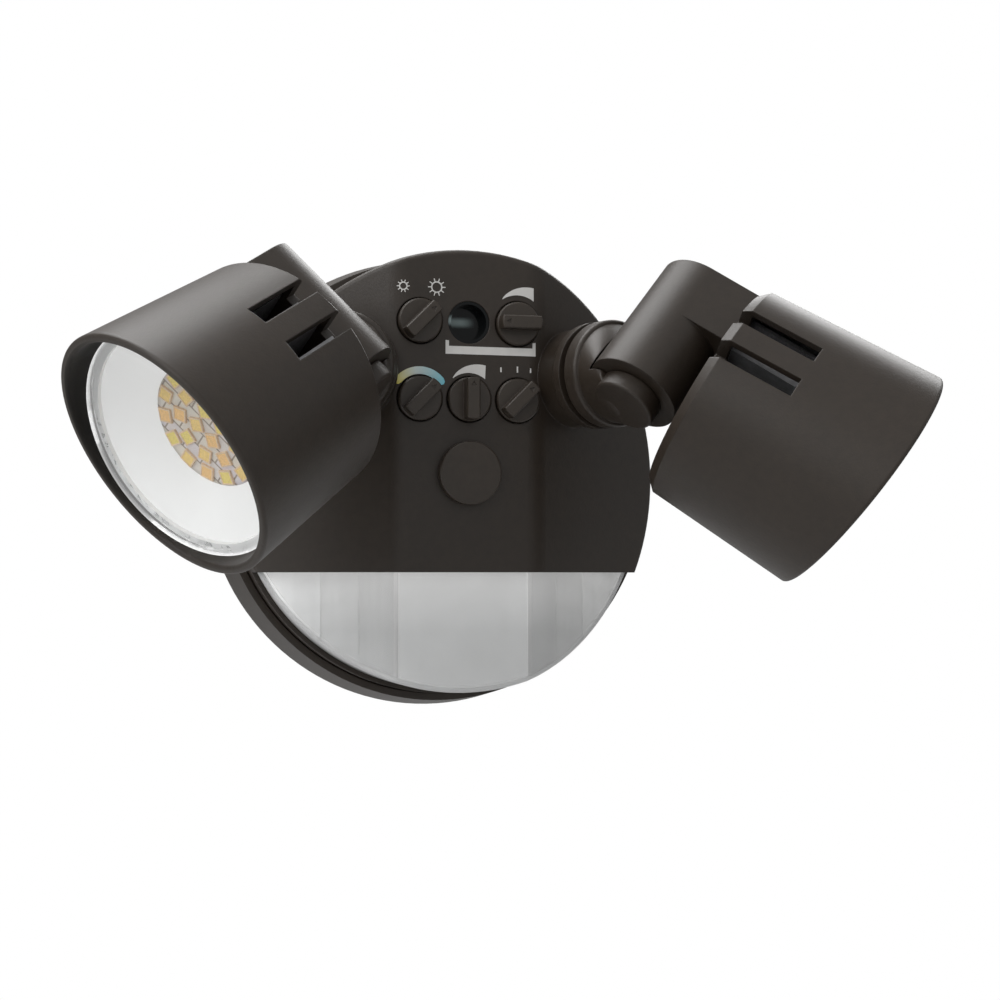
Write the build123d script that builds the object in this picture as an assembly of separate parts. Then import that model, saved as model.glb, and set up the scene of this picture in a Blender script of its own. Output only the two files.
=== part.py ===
"""Motion sensor security light: a round wall canopy with two adjustable lamp heads.

Frame: millimetres, +Z up, the wall is the plane y = 0 and the light faces -Y. The origin is the
centre of the canopy on the wall. "Depth" is the distance from the wall, so y = -depth.
Each piece is its own solid, written to parts/NAME.step.
"""
from build123d import *
from math import cos, radians, sin, sqrt, tan
import os

# ---------------------------------------------------------------- driving dimensions (mm)
# canopy: the rear pan against the wall
PAN_WALL_RADIUS = 70.0
PAN_DRAFT = 2.4
PAN_RIM_RADIUS = PAN_WALL_RADIUS - PAN_DRAFT
PAN_DEPTH = 18.0
PAN_FLOOR_BACK = 8.0
PAN_FLOOR_THICKNESS = 2.5
PAN_SIDE_THICKNESS = 3.2
GASKET_THICKNESS = 1.5
GASKET_WIDTH = 5.0
WIRE_HOLE_RADIUS = 9.0
WIRE_HOLE_Z = -22.0

# front cover: a flat pad in the middle, sloping sides, round outline
COVER_EDGE_MARGIN = 2.5
COVER_RADIUS = PAN_RIM_RADIUS - COVER_EDGE_MARGIN
COVER_SEAL_WIDTH = 3.0
COVER_FIT = 0.3
COVER_WALL = 2.6
COVER_BACK = 12.3
COVER_EDGE_FILLET = 1.6
PAD_DEPTH = 54.3
PAD_HALF_WIDTH = 20.9
PAD_FILLET = 12.0
SIDE_SLOPE = 29.4
VISOR_Z = -28.6
LOWER_RIM_DEPTH = 25.0
LOWER_RIM_WALL = 1.5

# lens under the visor
LENS_GAP = 0.3
LENS_INSET = 4.0
LENS_WALL = 1.6
LENS_OVERLAP = 6.0
LENS_EDGE_FILLET = 1.2

# dials on the pad
DIAL_PITCH_X = 14.6
DIAL_UPPER_SHARE = 0.6728
DIAL_LOWER_SHARE = 0.3287
DIAL_UPPER_Z = COVER_RADIUS * DIAL_UPPER_SHARE
DIAL_LOWER_Z = COVER_RADIUS * DIAL_LOWER_SHARE
DIAL_RADIUS = 6.4
DIAL_CLEARANCE = 0.35
DIAL_PROUD = 1.5
DIAL_BAR_WIDTH = 3.8
DIAL_BAR_HEIGHT = 4.6
DIAL_MARK_RADIUS = 0.9
DIAL_FLANGE_RADIUS = DIAL_RADIUS + 0.7
DIAL_FLANGE_THICKNESS = 1.0
DIAL_FLANGE_GAP = 1.4
DIAL_SHAFT_RADIUS = 2.0
SHAFT_FIT = 0.05
DIAL_REST = {
    "brightness_dial": (-1, DIAL_UPPER_Z, 45.0),
    "daylight_dial": (1, DIAL_UPPER_Z, -90.0),
    "color_dial": (-1, DIAL_LOWER_Z, 45.0),
    "motion_dial": (0, DIAL_LOWER_Z, 0.0),
    "mode_dial": (1, DIAL_LOWER_Z, 45.0),
}

# control board behind the pad, sensor board behind the lens, driver on the pan floor
CONTROL_BOARD_BEHIND = 12.7
CONTROL_BOARD_DEPTH = PAD_DEPTH - CONTROL_BOARD_BEHIND
BOARD_THICKNESS = 1.6
CONTROL_BOARD_MARGIN = 4.4
CONTROL_BOARD_END = 7.6
CONTROL_BOARD_HALF_WIDTH = DIAL_PITCH_X + CONTROL_BOARD_MARGIN
CONTROL_BOARD_Z = (DIAL_LOWER_Z - CONTROL_BOARD_END, DIAL_UPPER_Z + CONTROL_BOARD_END)
POT_SIDE = 8.4
POT_HEIGHT = 5.0
SENSOR_BOARD_DEPTH = 24.0
SENSOR_BOARD_SIZE = (44.0, 24.0)
SENSOR_ABOVE_EDGE = 22.1
SENSOR_Z = SENSOR_ABOVE_EDGE - COVER_RADIUS
SENSOR_CAN_RADIUS = 4.6
SENSOR_CAN_HEIGHT = 4.4
SHROUD_REAR_RADIUS = 7.5
SHROUD_MOUTH_RADIUS = 12.0
SHROUD_WALL = 1.2
SHROUD_LENGTH = 9.0
DRIVER_BOARD_INSET = 27.1
DRIVER_BOARD_HEIGHT = 34.0
DRIVER_BELOW_EDGE = 34.1
DRIVER_BOARD_WIDTH = 2 * (COVER_RADIUS - DRIVER_BOARD_INSET)
DRIVER_BOARD_Z = COVER_RADIUS - DRIVER_BELOW_EDGE
DRIVER_BOARD_DEPTH = 14.5
CAPACITOR_INSET = 10.0
CAPACITOR_RADII = (5.0, 4.0)
CAPACITOR_HEIGHTS = (12.0, 10.0)
TRANSFORMER_SIZE = (18.0, 16.0)
TRANSFORMER_HEIGHT = 13.0
RELAY_SIZE = (10.0, 12.0)
RELAY_HEIGHT = 8.0
TERMINAL_SIZE = (14.0, 8.0)
TERMINAL_HEIGHT = 9.0
DRIVER_PART_PITCH = 20.0

# centre screw, its pillar and plug, and the mounting bar
SCREW_RADIUS = 2.5
SCREW_HOLE_CLEARANCE = 0.25
SCREW_HEAD_RADIUS = 4.6
SCREW_HEAD_HEIGHT = 3.0
PILLAR_RADIUS = 6.0
PILLAR_DEPTH = 34.0
PLUG_PROUD = 3.0
PLUG_STEM_RADIUS = 7.4
PLUG_LIP = 1.8
PLUG_RADIUS = PLUG_STEM_RADIUS + PLUG_LIP
PLUG_STEM_LENGTH = 5.0
PLUG_CLEARANCE = 0.05
SLEEVE_WALL = 1.6
WINDOW_RADIUS = 6.1
WINDOW_RECESS = 0.4
WINDOW_WALL = 0.8
WINDOW_CUP_DEPTH = 4.6
WINDOW_FLOOR_THICKNESS = 1.4
BAR_WIDTH = 22.0
BAR_THICKNESS = 2.0
BOX_HOLE_SPACING = 88.9
BAR_END = 11.55
BAR_LENGTH = BOX_HOLE_SPACING + 2 * BAR_END
GROUND_SCREW_X = 18.0
GROUND_SCREW_RADIUS = 2.0
BOX_SLOT_RADIUS = 2.3
BOX_SLOT_LENGTH = 14.0
COVER_SCREW_ANGLES = (20.0, 90.0, 160.0)
COVER_SCREW_INSET = 9.1
COVER_SCREW_CIRCLE = COVER_RADIUS - COVER_SCREW_INSET
COVER_SCREW_RADIUS = 1.5
COVER_BOSS_RADIUS = 3.4
COVER_SCREW_HOLE_LENGTH = 14.0

# swivel of each arm: the pivot point, the direction of its axis, and its socket on the cover
PIVOT_X = 45.9
PIVOT_AHEAD = 27.0
PIVOT_DEPTH = PAD_DEPTH + PIVOT_AHEAD
PIVOT_Z = 28.9
SWIVEL_ANGLE = 19.3
SOCKET_RADIUS = 14.5
SOCKET_BACK_RADIUS = 11.5
SOCKET_LENGTH = 14.0
SOCKET_LIP = 1.1
SOCKET_LIP_LENGTH = 3.0
SOCKET_FACE = 22.4
SOCKET_BACK = 42.0
STUB_RADIUS = 7.5
STUB_BACK = SOCKET_BACK + 7.0
NUT_RADIUS = STUB_RADIUS + 2.9
NUT_THICKNESS = 4.0
SEAL_RADIUS = SOCKET_RADIUS - 3.5
SEAL_THICKNESS = 1.6
SEAL_PROUD = 0.25
BODY_GAP = 0.35
FLANGE_RADIUS = SOCKET_RADIUS + SOCKET_LIP
FLANGE_THICKNESS = 7.0
FLANGE_GROOVE_LENGTH = 1.2
FLANGE_GROOVE_DEPTH = 2.6
NECK_RADIUS = 14.4

# arm: the barrel that turns on the elbow's spindle, and the block that carries the lamp head
BARREL_RADIUS = 13.6
BARREL_BELOW = 9.8
BARREL_ABOVE = 30.3
BARREL_CAP = 4.0
SPINDLE_RADIUS = 6.5
SPINDLE_ABOVE = BARREL_ABOVE - BARREL_CAP - 3.3
KNUCKLE_RADIUS = SPINDLE_RADIUS + 2.7
KNUCKLE_THICKNESS = 5.0
BLOCK_BOTTOM = 12.0
WIRE_RADIUS = 3.2
HEAD_WIRE_RADIUS = 1.3
HEAD_STANDOFF = 5.4
HEAD_OFFSET = (BARREL_RADIUS + HEAD_STANDOFF, 2.8, 1.0)

# lamp head, measured along its own axis from the rear shoulder
HEAD_REAR_RADIUS = 32.4
HEAD_TAPER = 0.0546
HEAD_WALL = 2.4
HEAD_CHAMFER = 2.6
HEAD_BACK_THICKNESS = 3.2
HEAD_LENGTH = 47.6
HOOD_SLOPE = 0.22
RIM_FILLET = 0.9
SLOT_WIDTH = 5.6
SLOT_SPACING = 12.4
SLOT_SHIFT = 1.0
SLOT_LENGTH = 21.4
SLOT_FLOOR = HEAD_REAR_RADIUS - 9.4
GLASS_SETBACK = 11.8
LEDGE_FRONT = HEAD_LENGTH - GLASS_SETBACK
LEDGE_THICKNESS = 1.2
LEDGE_RADIUS = HEAD_REAR_RADIUS - 2.2
SEAL_RING_THICKNESS = 1.2
GLASS_THICKNESS = 2.0
GLASS_CLEARANCE = 0.25
REFLECTOR_DEPTH = 9.2
SINK_FRONT = LEDGE_FRONT - REFLECTOR_DEPTH
SINK_PLATE_THICKNESS = 5.2
SINK_RADIUS = HEAD_REAR_RADIUS - 3.8
FIN_RADIUS = SINK_RADIUS - 2.6
FIN_THICKNESS = 1.6
FIN_PITCH = 6.2
FIN_COUNT = 7
LED_BOARD_RADIUS = SINK_RADIUS - 4.6
LED_SIDE = 3.9
LED_HEIGHT = 0.7
LED_RING_RADII = (4.1, 9.3, 14.4)
LED_RING_COUNTS = (4, 9, 14)
LED_RING_TURNS = (45.0, 0.0, 0.0)
REFLECTOR_THROAT_RADIUS = 16.9
REFLECTOR_MOUTH_RADIUS = LEDGE_RADIUS - 1.4
REFLECTOR_WALL = 1.2
ARM_SCREW_SPACING = 16.0

# resting angles of the arms: (swivel, tilt) in degrees, on each side
ARM_REST = {"right": (41.5, 52.3), "left": (44.8, 43.9)}

nodes = {}


# ---------------------------------------------------------------- helpers
def wall_plane(depth, x=0.0, z=0.0):
    """A plane parallel to the wall at a depth, with local x = +X and local y = +Z."""
    return Plane(origin=(x, -depth, z), x_dir=(1, 0, 0), z_dir=(0, -1, 0))


def rod(x, z, radius, depth_back, depth_front):
    """A round bar square to the wall, between two depths."""
    return extrude(wall_plane(depth_back, x, z) * Circle(radius), depth_front - depth_back)


def block(x, z, width, height, depth_back, depth_front):
    """A rectangular block square to the wall, between two depths."""
    return extrude(wall_plane(depth_back, x, z) * Rectangle(width, height), depth_front - depth_back)


def spin(points, axis=Axis.X):
    """A turned piece: the closed outline of (along, radius) points, spun about an axis."""
    return revolve(make_face(Polyline(*points, close=True)), axis)


def bar_along(radius, start, end):
    """A round bar along local Z between two heights."""
    return Pos(0, 0, start) * extrude(Circle(radius), end - start)


def cover_section(inset):
    """The cover's section square to Z: a flat pad and two sloping sides, set in by a wall."""
    slope = tan(radians(SIDE_SLOPE))
    pad = PAD_DEPTH - inset
    corner = PAD_HALF_WIDTH - inset * (sqrt(1 + slope**2) - 1) / slope
    reach = PAN_WALL_RADIUS
    edge = pad - (reach - corner) * slope
    outline = Polyline(
        (-reach, -COVER_BACK), (-reach, -edge), (-corner, -pad),
        (corner, -pad), (reach, -edge), (reach, -COVER_BACK), close=True,
    )
    face = make_face(outline)
    corners = face.vertices().filter_by(lambda v: abs(v.Y + pad) < 0.01)
    return fillet(corners, PAD_FILLET)


def domed(inset, radius):
    """The space under the cover's section, cut round to a radius."""
    prism = Pos(0, 0, -reach_z()) * extrude(cover_section(inset), 2 * reach_z())
    return prism & rod(0, 0, radius, COVER_BACK, PAD_DEPTH + 1)


def reach_z():
    """Half the height of the prism that the round outline is cut from."""
    return PAN_WALL_RADIUS + 1


def below(z, depth_back, depth_front):
    """The space below a height, between two depths."""
    size = 2 * PAN_WALL_RADIUS + 10
    return block(0, z - size / 2, size, size, depth_back, depth_front)


# ---------------------------------------------------------------- places worked out from the sizes
PAN_FLOOR_FRONT = PAN_FLOOR_BACK + PAN_FLOOR_THICKNESS
LENS_RADIUS = COVER_RADIUS - LOWER_RIM_WALL - LENS_GAP
LENS_TOP = VISOR_Z + LENS_OVERLAP
BARREL_CLEARANCE = BARREL_RADIUS + BODY_GAP + 0.15
GLASS_BACK = LEDGE_FRONT + SEAL_RING_THICKNESS
LED_BOARD_FRONT = SINK_FRONT + BOARD_THICKNESS
HEAD_BACK = -HEAD_CHAMFER
cover_screw_places = [
    (COVER_SCREW_CIRCLE * cos(radians(a)), COVER_SCREW_CIRCLE * sin(radians(a)))
    for a in COVER_SCREW_ANGLES
]
sensor_post_places = [(sx * (SENSOR_BOARD_SIZE[0] / 2 - 4), SENSOR_Z + 8) for sx in (-1, 1)]
driver_post_z = DRIVER_BOARD_Z - DRIVER_BOARD_HEIGHT / 2 + 5
driver_post_places = [(sx * (DRIVER_BOARD_WIDTH / 2 - 4), driver_post_z) for sx in (-1, 1)]
board_screw_places = [(sx * DIAL_PITCH_X / 2, (DIAL_UPPER_Z + DIAL_LOWER_Z) / 2) for sx in (-1, 1)]
swivel_base = Plane(
    origin=(PIVOT_X, -PIVOT_DEPTH, PIVOT_Z),
    x_dir=(cos(radians(SWIVEL_ANGLE)), sin(radians(SWIVEL_ANGLE)), 0),
    z_dir=(sin(radians(SWIVEL_ANGLE)), -cos(radians(SWIVEL_ANGLE)), 0),
)
SIDES = {"right": 1, "left": -1}


def on_both_sides(shape):
    """A shape of the right side and its mirror image on the left."""
    return [shape, shape.mirror(Plane.YZ)]


def swivel_rod(radius, back, front):
    """A round bar on the right swivel axis, between two distances behind the pivot."""
    return swivel_base.location * bar_along(radius, -back, -front)


# ---------------------------------------------------------------- canopy
def make_rear_housing():
    """Pan: tapered side, floor set forward of the wall, pillar, posts and screw holes."""
    taper = (PAN_WALL_RADIUS - PAN_RIM_RADIUS) / PAN_DEPTH
    back_radius = PAN_WALL_RADIUS - taper * GASKET_THICKNESS
    inner_back = PAN_WALL_RADIUS - PAN_SIDE_THICKNESS - GASKET_WIDTH * 0.4
    seat = COVER_RADIUS + COVER_FIT
    pan = revolve(
        make_face(
            Polyline(
                (0, -PAN_FLOOR_BACK), (inner_back, -PAN_FLOOR_BACK), (inner_back, -GASKET_THICKNESS),
                (back_radius, -GASKET_THICKNESS), (PAN_RIM_RADIUS, -PAN_DEPTH), (seat, -PAN_DEPTH),
                (seat, -PAN_FLOOR_FRONT), (0, -PAN_FLOOR_FRONT), close=True,
            )
        ),
        Axis.Y,
    )
    pan += rod(0, 0, PILLAR_RADIUS, PAN_FLOOR_BACK, PILLAR_DEPTH)
    for x, z in sensor_post_places:
        pan += rod(x, z, 2.5, PAN_FLOOR_FRONT - 0.5, SENSOR_BOARD_DEPTH)
    for x, z in driver_post_places:
        pan += rod(x, z, 2.5, PAN_FLOOR_FRONT - 0.5, DRIVER_BOARD_DEPTH)
    pan -= rod(0, 0, SCREW_RADIUS + SCREW_HOLE_CLEARANCE, 0, PILLAR_DEPTH + 1)
    for x, z in cover_screw_places:
        pan -= rod(x, z, COVER_SCREW_RADIUS + SCREW_HOLE_CLEARANCE, 0, PAN_FLOOR_FRONT + 1)
    pan -= rod(0, WIRE_HOLE_Z, WIRE_HOLE_RADIUS, 0, PAN_FLOOR_FRONT + 1)
    return pan


def make_wall_gasket():
    """Foam ring between the pan and the wall."""
    outer = PAN_WALL_RADIUS - 0.4
    return rod(0, 0, outer, 0, GASKET_THICKNESS) - rod(0, 0, outer - GASKET_WIDTH, -1, GASKET_THICKNESS + 1)


def make_cover_seal():
    """Ring between the pan floor and the back edge of the cover."""
    ring = rod(0, 0, COVER_RADIUS, PAN_FLOOR_FRONT, COVER_BACK)
    return ring - rod(0, 0, COVER_RADIUS - COVER_SEAL_WIDTH, PAN_FLOOR_FRONT - 1, COVER_BACK + 1)


def make_mounting_bracket():
    """Steel bar that screws to the junction box; the centre screw threads into it."""
    bar = block(0, 0, BAR_LENGTH, BAR_WIDTH, 0, BAR_THICKNESS)
    for side in (-1, 1):
        slot = SlotCenterToCenter(BOX_SLOT_LENGTH - 2 * BOX_SLOT_RADIUS, 2 * BOX_SLOT_RADIUS)
        bar -= extrude(wall_plane(-1, side * BOX_HOLE_SPACING / 2, 0) * slot, BAR_THICKNESS + 2)
    bar -= rod(0, 0, SCREW_RADIUS, -1, BAR_THICKNESS + 1)
    bar -= rod(GROUND_SCREW_X, 0, GROUND_SCREW_RADIUS, -1, BAR_THICKNESS + 1)
    return bar


def make_ground_screw():
    """Green hexagon-head ground screw in the mounting bar."""
    head = extrude(wall_plane(BAR_THICKNESS, GROUND_SCREW_X, 0) * RegularPolygon(4.2, 6), 2.6)
    head -= block(GROUND_SCREW_X, 0, 9.0, 1.1, BAR_THICKNESS + 1.6, BAR_THICKNESS + 3)
    return head + rod(GROUND_SCREW_X, 0, GROUND_SCREW_RADIUS, 0, BAR_THICKNESS)


def make_centre_screw():
    """Long screw from the pillar's top to the mounting bar."""
    head_back = PILLAR_DEPTH
    screw = rod(0, 0, SCREW_RADIUS, 0, head_back)
    head = rod(0, 0, SCREW_HEAD_RADIUS, head_back, head_back + SCREW_HEAD_HEIGHT)
    slot_depth = head_back + SCREW_HEAD_HEIGHT - 1.5
    head -= block(0, 0, 1.2, 7.0, slot_depth, head_back + SCREW_HEAD_HEIGHT + 1)
    head -= block(0, 0, 7.0, 1.2, slot_depth, head_back + SCREW_HEAD_HEIGHT + 1)
    return screw + head


def make_screw_plug():
    """Rubber plug: a cap on the pad and a hollow stem in the centre hole."""
    face = PAD_DEPTH + PLUG_PROUD
    cap = rod(0, 0, PLUG_RADIUS, PAD_DEPTH, face)
    cap = fillet(cap.edges().filter_by(GeomType.CIRCLE).sort_by(Axis.Y)[0], 0.6)
    plug = cap + rod(0, 0, PLUG_STEM_RADIUS, PAD_DEPTH - PLUG_STEM_LENGTH, PAD_DEPTH)
    return plug - rod(0, 0, PLUG_STEM_RADIUS - 1.6, PAD_DEPTH - PLUG_STEM_LENGTH - 1, PAD_DEPTH)


def make_front_cover():
    """Shell with the pad, the sloping sides, the swivel sockets and the visor over the lens."""
    solid = domed(0, COVER_RADIUS)
    solid = fillet(solid.edges().filter_by(lambda e: on_outline(e, COVER_RADIUS)), COVER_EDGE_FILLET)
    solid -= below(VISOR_Z, LOWER_RIM_DEPTH, PAD_DEPTH + 1)
    inside = domed(COVER_WALL, COVER_RADIUS - COVER_WALL)
    inside -= below(VISOR_Z + COVER_WALL, LENS_INSET, PAD_DEPTH + 1) - domed(LENS_INSET, PAN_WALL_RADIUS)
    lens_space = domed(LENS_INSET, LENS_RADIUS + LENS_GAP) & below(LENS_TOP + LENS_GAP, 0, PAD_DEPTH)
    bosses = []
    for x, z in cover_screw_places:
        bosses.append(rod(x, z, COVER_BOSS_RADIUS, COVER_BACK, PAD_DEPTH - 1))
    bosses.append(rod(0, 0, PLUG_STEM_RADIUS + SLEEVE_WALL, PILLAR_DEPTH + 4, PAD_DEPTH - 1))
    for x, z in board_screw_places:
        bosses.append(rod(x, z, 2.6, CONTROL_BOARD_DEPTH, PAD_DEPTH - 1))
    shell = solid - inside - lens_space
    full = domed(COVER_WALL / 2, COVER_RADIUS - COVER_WALL / 2)
    for boss in bosses:
        shell += boss & full
    for socket in on_both_sides(swivel_rod(SOCKET_RADIUS, SOCKET_FACE, SOCKET_FACE + SOCKET_LENGTH)):
        shell += socket - domed(COVER_WALL / 2, COVER_RADIUS)
    lip_end = SOCKET_FACE + SOCKET_LIP_LENGTH
    for lip in on_both_sides(swivel_rod(SOCKET_RADIUS + SOCKET_LIP, SOCKET_FACE, lip_end)):
        shell += lip - domed(COVER_WALL / 2, COVER_RADIUS)
    for socket in on_both_sides(swivel_rod(SOCKET_BACK_RADIUS, SOCKET_FACE + 8, SOCKET_BACK)):
        shell += socket
    for bore in on_both_sides(swivel_rod(STUB_RADIUS + SHAFT_FIT, SOCKET_FACE - 1, SOCKET_BACK + 1)):
        shell -= bore
    groove_floor = SOCKET_FACE + SEAL_THICKNESS - SEAL_PROUD
    for groove in on_both_sides(swivel_rod(SEAL_RADIUS, SOCKET_FACE - 1, groove_floor)):
        shell -= groove
    behind_pad = PAD_DEPTH - COVER_WALL - DIAL_FLANGE_GAP
    for x, z, _ in dial_places():
        shell -= rod(x, z, DIAL_RADIUS + DIAL_CLEARANCE, behind_pad, PAD_DEPTH + 1)
    shell -= rod(0, DIAL_UPPER_Z, WINDOW_RADIUS + 0.1, behind_pad, PAD_DEPTH + 1)
    shell -= rod(0, 0, PLUG_STEM_RADIUS + PLUG_CLEARANCE, PILLAR_DEPTH, PAD_DEPTH + 1)
    for x, z in cover_screw_places:
        shell -= rod(x, z, COVER_SCREW_RADIUS, COVER_BACK - 1, COVER_BACK + COVER_SCREW_HOLE_LENGTH)
    return shell


def on_outline(edge, radius):
    """True for the edges where a front surface meets its round side."""
    middle = edge @ 0.5
    away = abs(sqrt(middle.X**2 + middle.Z**2) - radius)
    return away < 0.05 and middle.Y < -COVER_BACK - 1 and not is_side_seam(edge)


def is_side_seam(edge):
    """True for a straight edge that runs from back to front."""
    return abs((edge % 0.5).Y) > 0.99


def dial_places():
    """Centre and resting angle of each dial."""
    return [(col * DIAL_PITCH_X, z, angle) for col, z, angle in DIAL_REST.values()]


def make_pir_lens():
    """Translucent lens: the cover's shape again, set in, with a wall of its own."""
    outer = domed(LENS_INSET, LENS_RADIUS)
    outer = fillet(outer.edges().filter_by(lambda e: on_outline(e, LENS_RADIUS)), LENS_EDGE_FILLET)
    inner = domed(LENS_INSET + LENS_WALL, LENS_RADIUS - LENS_WALL)
    shell = (outer - inner) & below(LENS_TOP, 0, PAD_DEPTH)
    return shell


def make_sensor_board():
    """Small board behind the lens."""
    board = block(0, SENSOR_Z, *SENSOR_BOARD_SIZE, SENSOR_BOARD_DEPTH, SENSOR_BOARD_DEPTH + BOARD_THICKNESS)
    return board


def make_motion_sensor():
    """Metal can with a square window."""
    back = SENSOR_BOARD_DEPTH + BOARD_THICKNESS
    can = rod(0, SENSOR_Z, SENSOR_CAN_RADIUS, back, back + SENSOR_CAN_HEIGHT)
    can += rod(0, SENSOR_Z, SENSOR_CAN_RADIUS + 0.7, back, back + 0.6)
    front = back + SENSOR_CAN_HEIGHT
    return can - block(0, SENSOR_Z, 4.0, 3.0, front - 0.4, front + 1)


def make_sensor_shroud():
    """Black funnel that shades the motion sensor inside the lens."""
    back = SENSOR_BOARD_DEPTH + BOARD_THICKNESS
    front = back + SHROUD_LENGTH
    rear, mouth = wall_plane(back, 0, SENSOR_Z), wall_plane(front, 0, SENSOR_Z)
    outer = loft([rear * Circle(SHROUD_REAR_RADIUS), mouth * Circle(SHROUD_MOUTH_RADIUS)])
    inner_rear = rear * Circle(SHROUD_REAR_RADIUS - SHROUD_WALL)
    return outer - loft([inner_rear, mouth * Circle(SHROUD_MOUTH_RADIUS - SHROUD_WALL)])


def make_dial(col, z, angle):
    """Dial: disc, raised finger bar with a mark at its pointing end, flange and shaft."""
    x = col * DIAL_PITCH_X
    face = PAD_DEPTH + DIAL_PROUD
    flange_front = PAD_DEPTH - COVER_WALL - DIAL_FLANGE_GAP
    disc = rod(x, z, DIAL_RADIUS, flange_front, face)
    dial = chamfer(disc.edges().filter_by(GeomType.CIRCLE).sort_by(Axis.Y)[0], 0.4)
    turned = wall_plane(face, x, z).location * Rotation(0, 0, -angle)
    bar = turned * extrude(Rectangle(DIAL_BAR_WIDTH, 2 * DIAL_RADIUS), DIAL_BAR_HEIGHT)
    bar &= rod(x, z, DIAL_RADIUS - 0.4, face, face + DIAL_BAR_HEIGHT)
    bar = chamfer(bar.faces().sort_by(Axis.Y)[0].edges(), 0.3)
    mark = extrude(RegularPolygon(DIAL_MARK_RADIUS, 3, rotation=90), 1)
    dial += bar - turned * Pos(0, DIAL_RADIUS - 2.4, DIAL_BAR_HEIGHT - 0.3) * mark
    dial += rod(x, z, DIAL_FLANGE_RADIUS, flange_front - DIAL_FLANGE_THICKNESS, flange_front)
    dial += rod(x, z, DIAL_SHAFT_RADIUS, CONTROL_BOARD_DEPTH + 1.0, flange_front)
    return dial


def make_photocell_window():
    """Dark clear window over the photocell: a cup in the pad's hole with a lip behind the pad."""
    front = PAD_DEPTH - WINDOW_RECESS
    floor = window_floor()
    behind_pad = PAD_DEPTH - COVER_WALL
    window = rod(0, DIAL_UPPER_Z, WINDOW_RADIUS, floor - WINDOW_FLOOR_THICKNESS, front)
    window += rod(0, DIAL_UPPER_Z, WINDOW_RADIUS + 0.9, behind_pad - 0.6, behind_pad)
    return window - rod(0, DIAL_UPPER_Z, WINDOW_RADIUS - WINDOW_WALL, floor, front + 1)


def window_floor():
    """Depth of the floor inside the window's cup."""
    return PAD_DEPTH - WINDOW_RECESS - WINDOW_CUP_DEPTH


def make_photocell():
    """Light sensor on the control board behind its window."""
    window_back = window_floor() - WINDOW_FLOOR_THICKNESS
    cell = rod(0, DIAL_UPPER_Z, 2.5, CONTROL_BOARD_DEPTH, window_back - 0.4)
    return cell


def make_control_board():
    """Board that carries the potentiometers, the mode switch and the photocell."""
    low, high = CONTROL_BOARD_Z
    back = CONTROL_BOARD_DEPTH - BOARD_THICKNESS
    board = block(0, (low + high) / 2, 2 * CONTROL_BOARD_HALF_WIDTH, high - low, back, CONTROL_BOARD_DEPTH)
    for x, z in board_screw_places:
        board -= rod(x, z, 1.3, back - 1, CONTROL_BOARD_DEPTH + 1)
    return board


def make_pot(x, z):
    """Square potentiometer body with a bore for the dial's shaft."""
    front = CONTROL_BOARD_DEPTH + POT_HEIGHT
    body = block(x, z, POT_SIDE, POT_SIDE, CONTROL_BOARD_DEPTH, front)
    return body - rod(x, z, DIAL_SHAFT_RADIUS + SHAFT_FIT, CONTROL_BOARD_DEPTH + 0.6, front + 1)


def make_board_screws():
    """Two screws that hold the control board to the cover's bosses."""
    back = CONTROL_BOARD_DEPTH - BOARD_THICKNESS
    screws = []
    for x, z in board_screw_places:
        screws.append(rod(x, z, 1.3, back, CONTROL_BOARD_DEPTH) + rod(x, z, 2.4, back - 1.6, back))
    return Compound(screws)


def make_cover_screws():
    """Three screws from the back of the pan into the cover's bosses."""
    screws = []
    for x, z in cover_screw_places:
        shank = rod(x, z, COVER_SCREW_RADIUS, PAN_FLOOR_BACK, COVER_BACK + 12)
        head = rod(x, z, 3.0, PAN_FLOOR_BACK - 2.0, PAN_FLOOR_BACK)
        head -= block(x, z, 0.8, 4.0, PAN_FLOOR_BACK - 3.0, PAN_FLOOR_BACK - 1.0)
        head -= block(x, z, 4.0, 0.8, PAN_FLOOR_BACK - 3.0, PAN_FLOOR_BACK - 1.0)
        screws.append(shank + head)
    return Compound(screws)


def make_driver_board():
    """Power supply board on posts from the pan floor."""
    front = DRIVER_BOARD_DEPTH + BOARD_THICKNESS
    return block(0, DRIVER_BOARD_Z, DRIVER_BOARD_WIDTH, DRIVER_BOARD_HEIGHT, DRIVER_BOARD_DEPTH, front)


def make_driver_parts():
    """Transformer, capacitors and terminal block on the driver board."""
    seat = DRIVER_BOARD_DEPTH + BOARD_THICKNESS
    row = DRIVER_BOARD_HEIGHT / 5
    first = CAPACITOR_INSET - DRIVER_BOARD_WIDTH / 2
    second = first + DRIVER_PART_PITCH
    third = second + DRIVER_PART_PITCH
    parts = [block(second, DRIVER_BOARD_Z, *TRANSFORMER_SIZE, seat, seat + TRANSFORMER_HEIGHT)]
    for side, radius, height in zip((1, -1), CAPACITOR_RADII, CAPACITOR_HEIGHTS):
        parts.append(rod(first, DRIVER_BOARD_Z + side * row, radius, seat, seat + height))
    parts.append(block(third, DRIVER_BOARD_Z + row, *RELAY_SIZE, seat, seat + RELAY_HEIGHT))
    lower = DRIVER_BOARD_Z - DRIVER_BOARD_HEIGHT / 2 + TERMINAL_SIZE[1] / 2 + 3
    parts.append(block(third, lower, *TERMINAL_SIZE, seat, seat + TERMINAL_HEIGHT))
    return Compound(parts)


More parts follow.
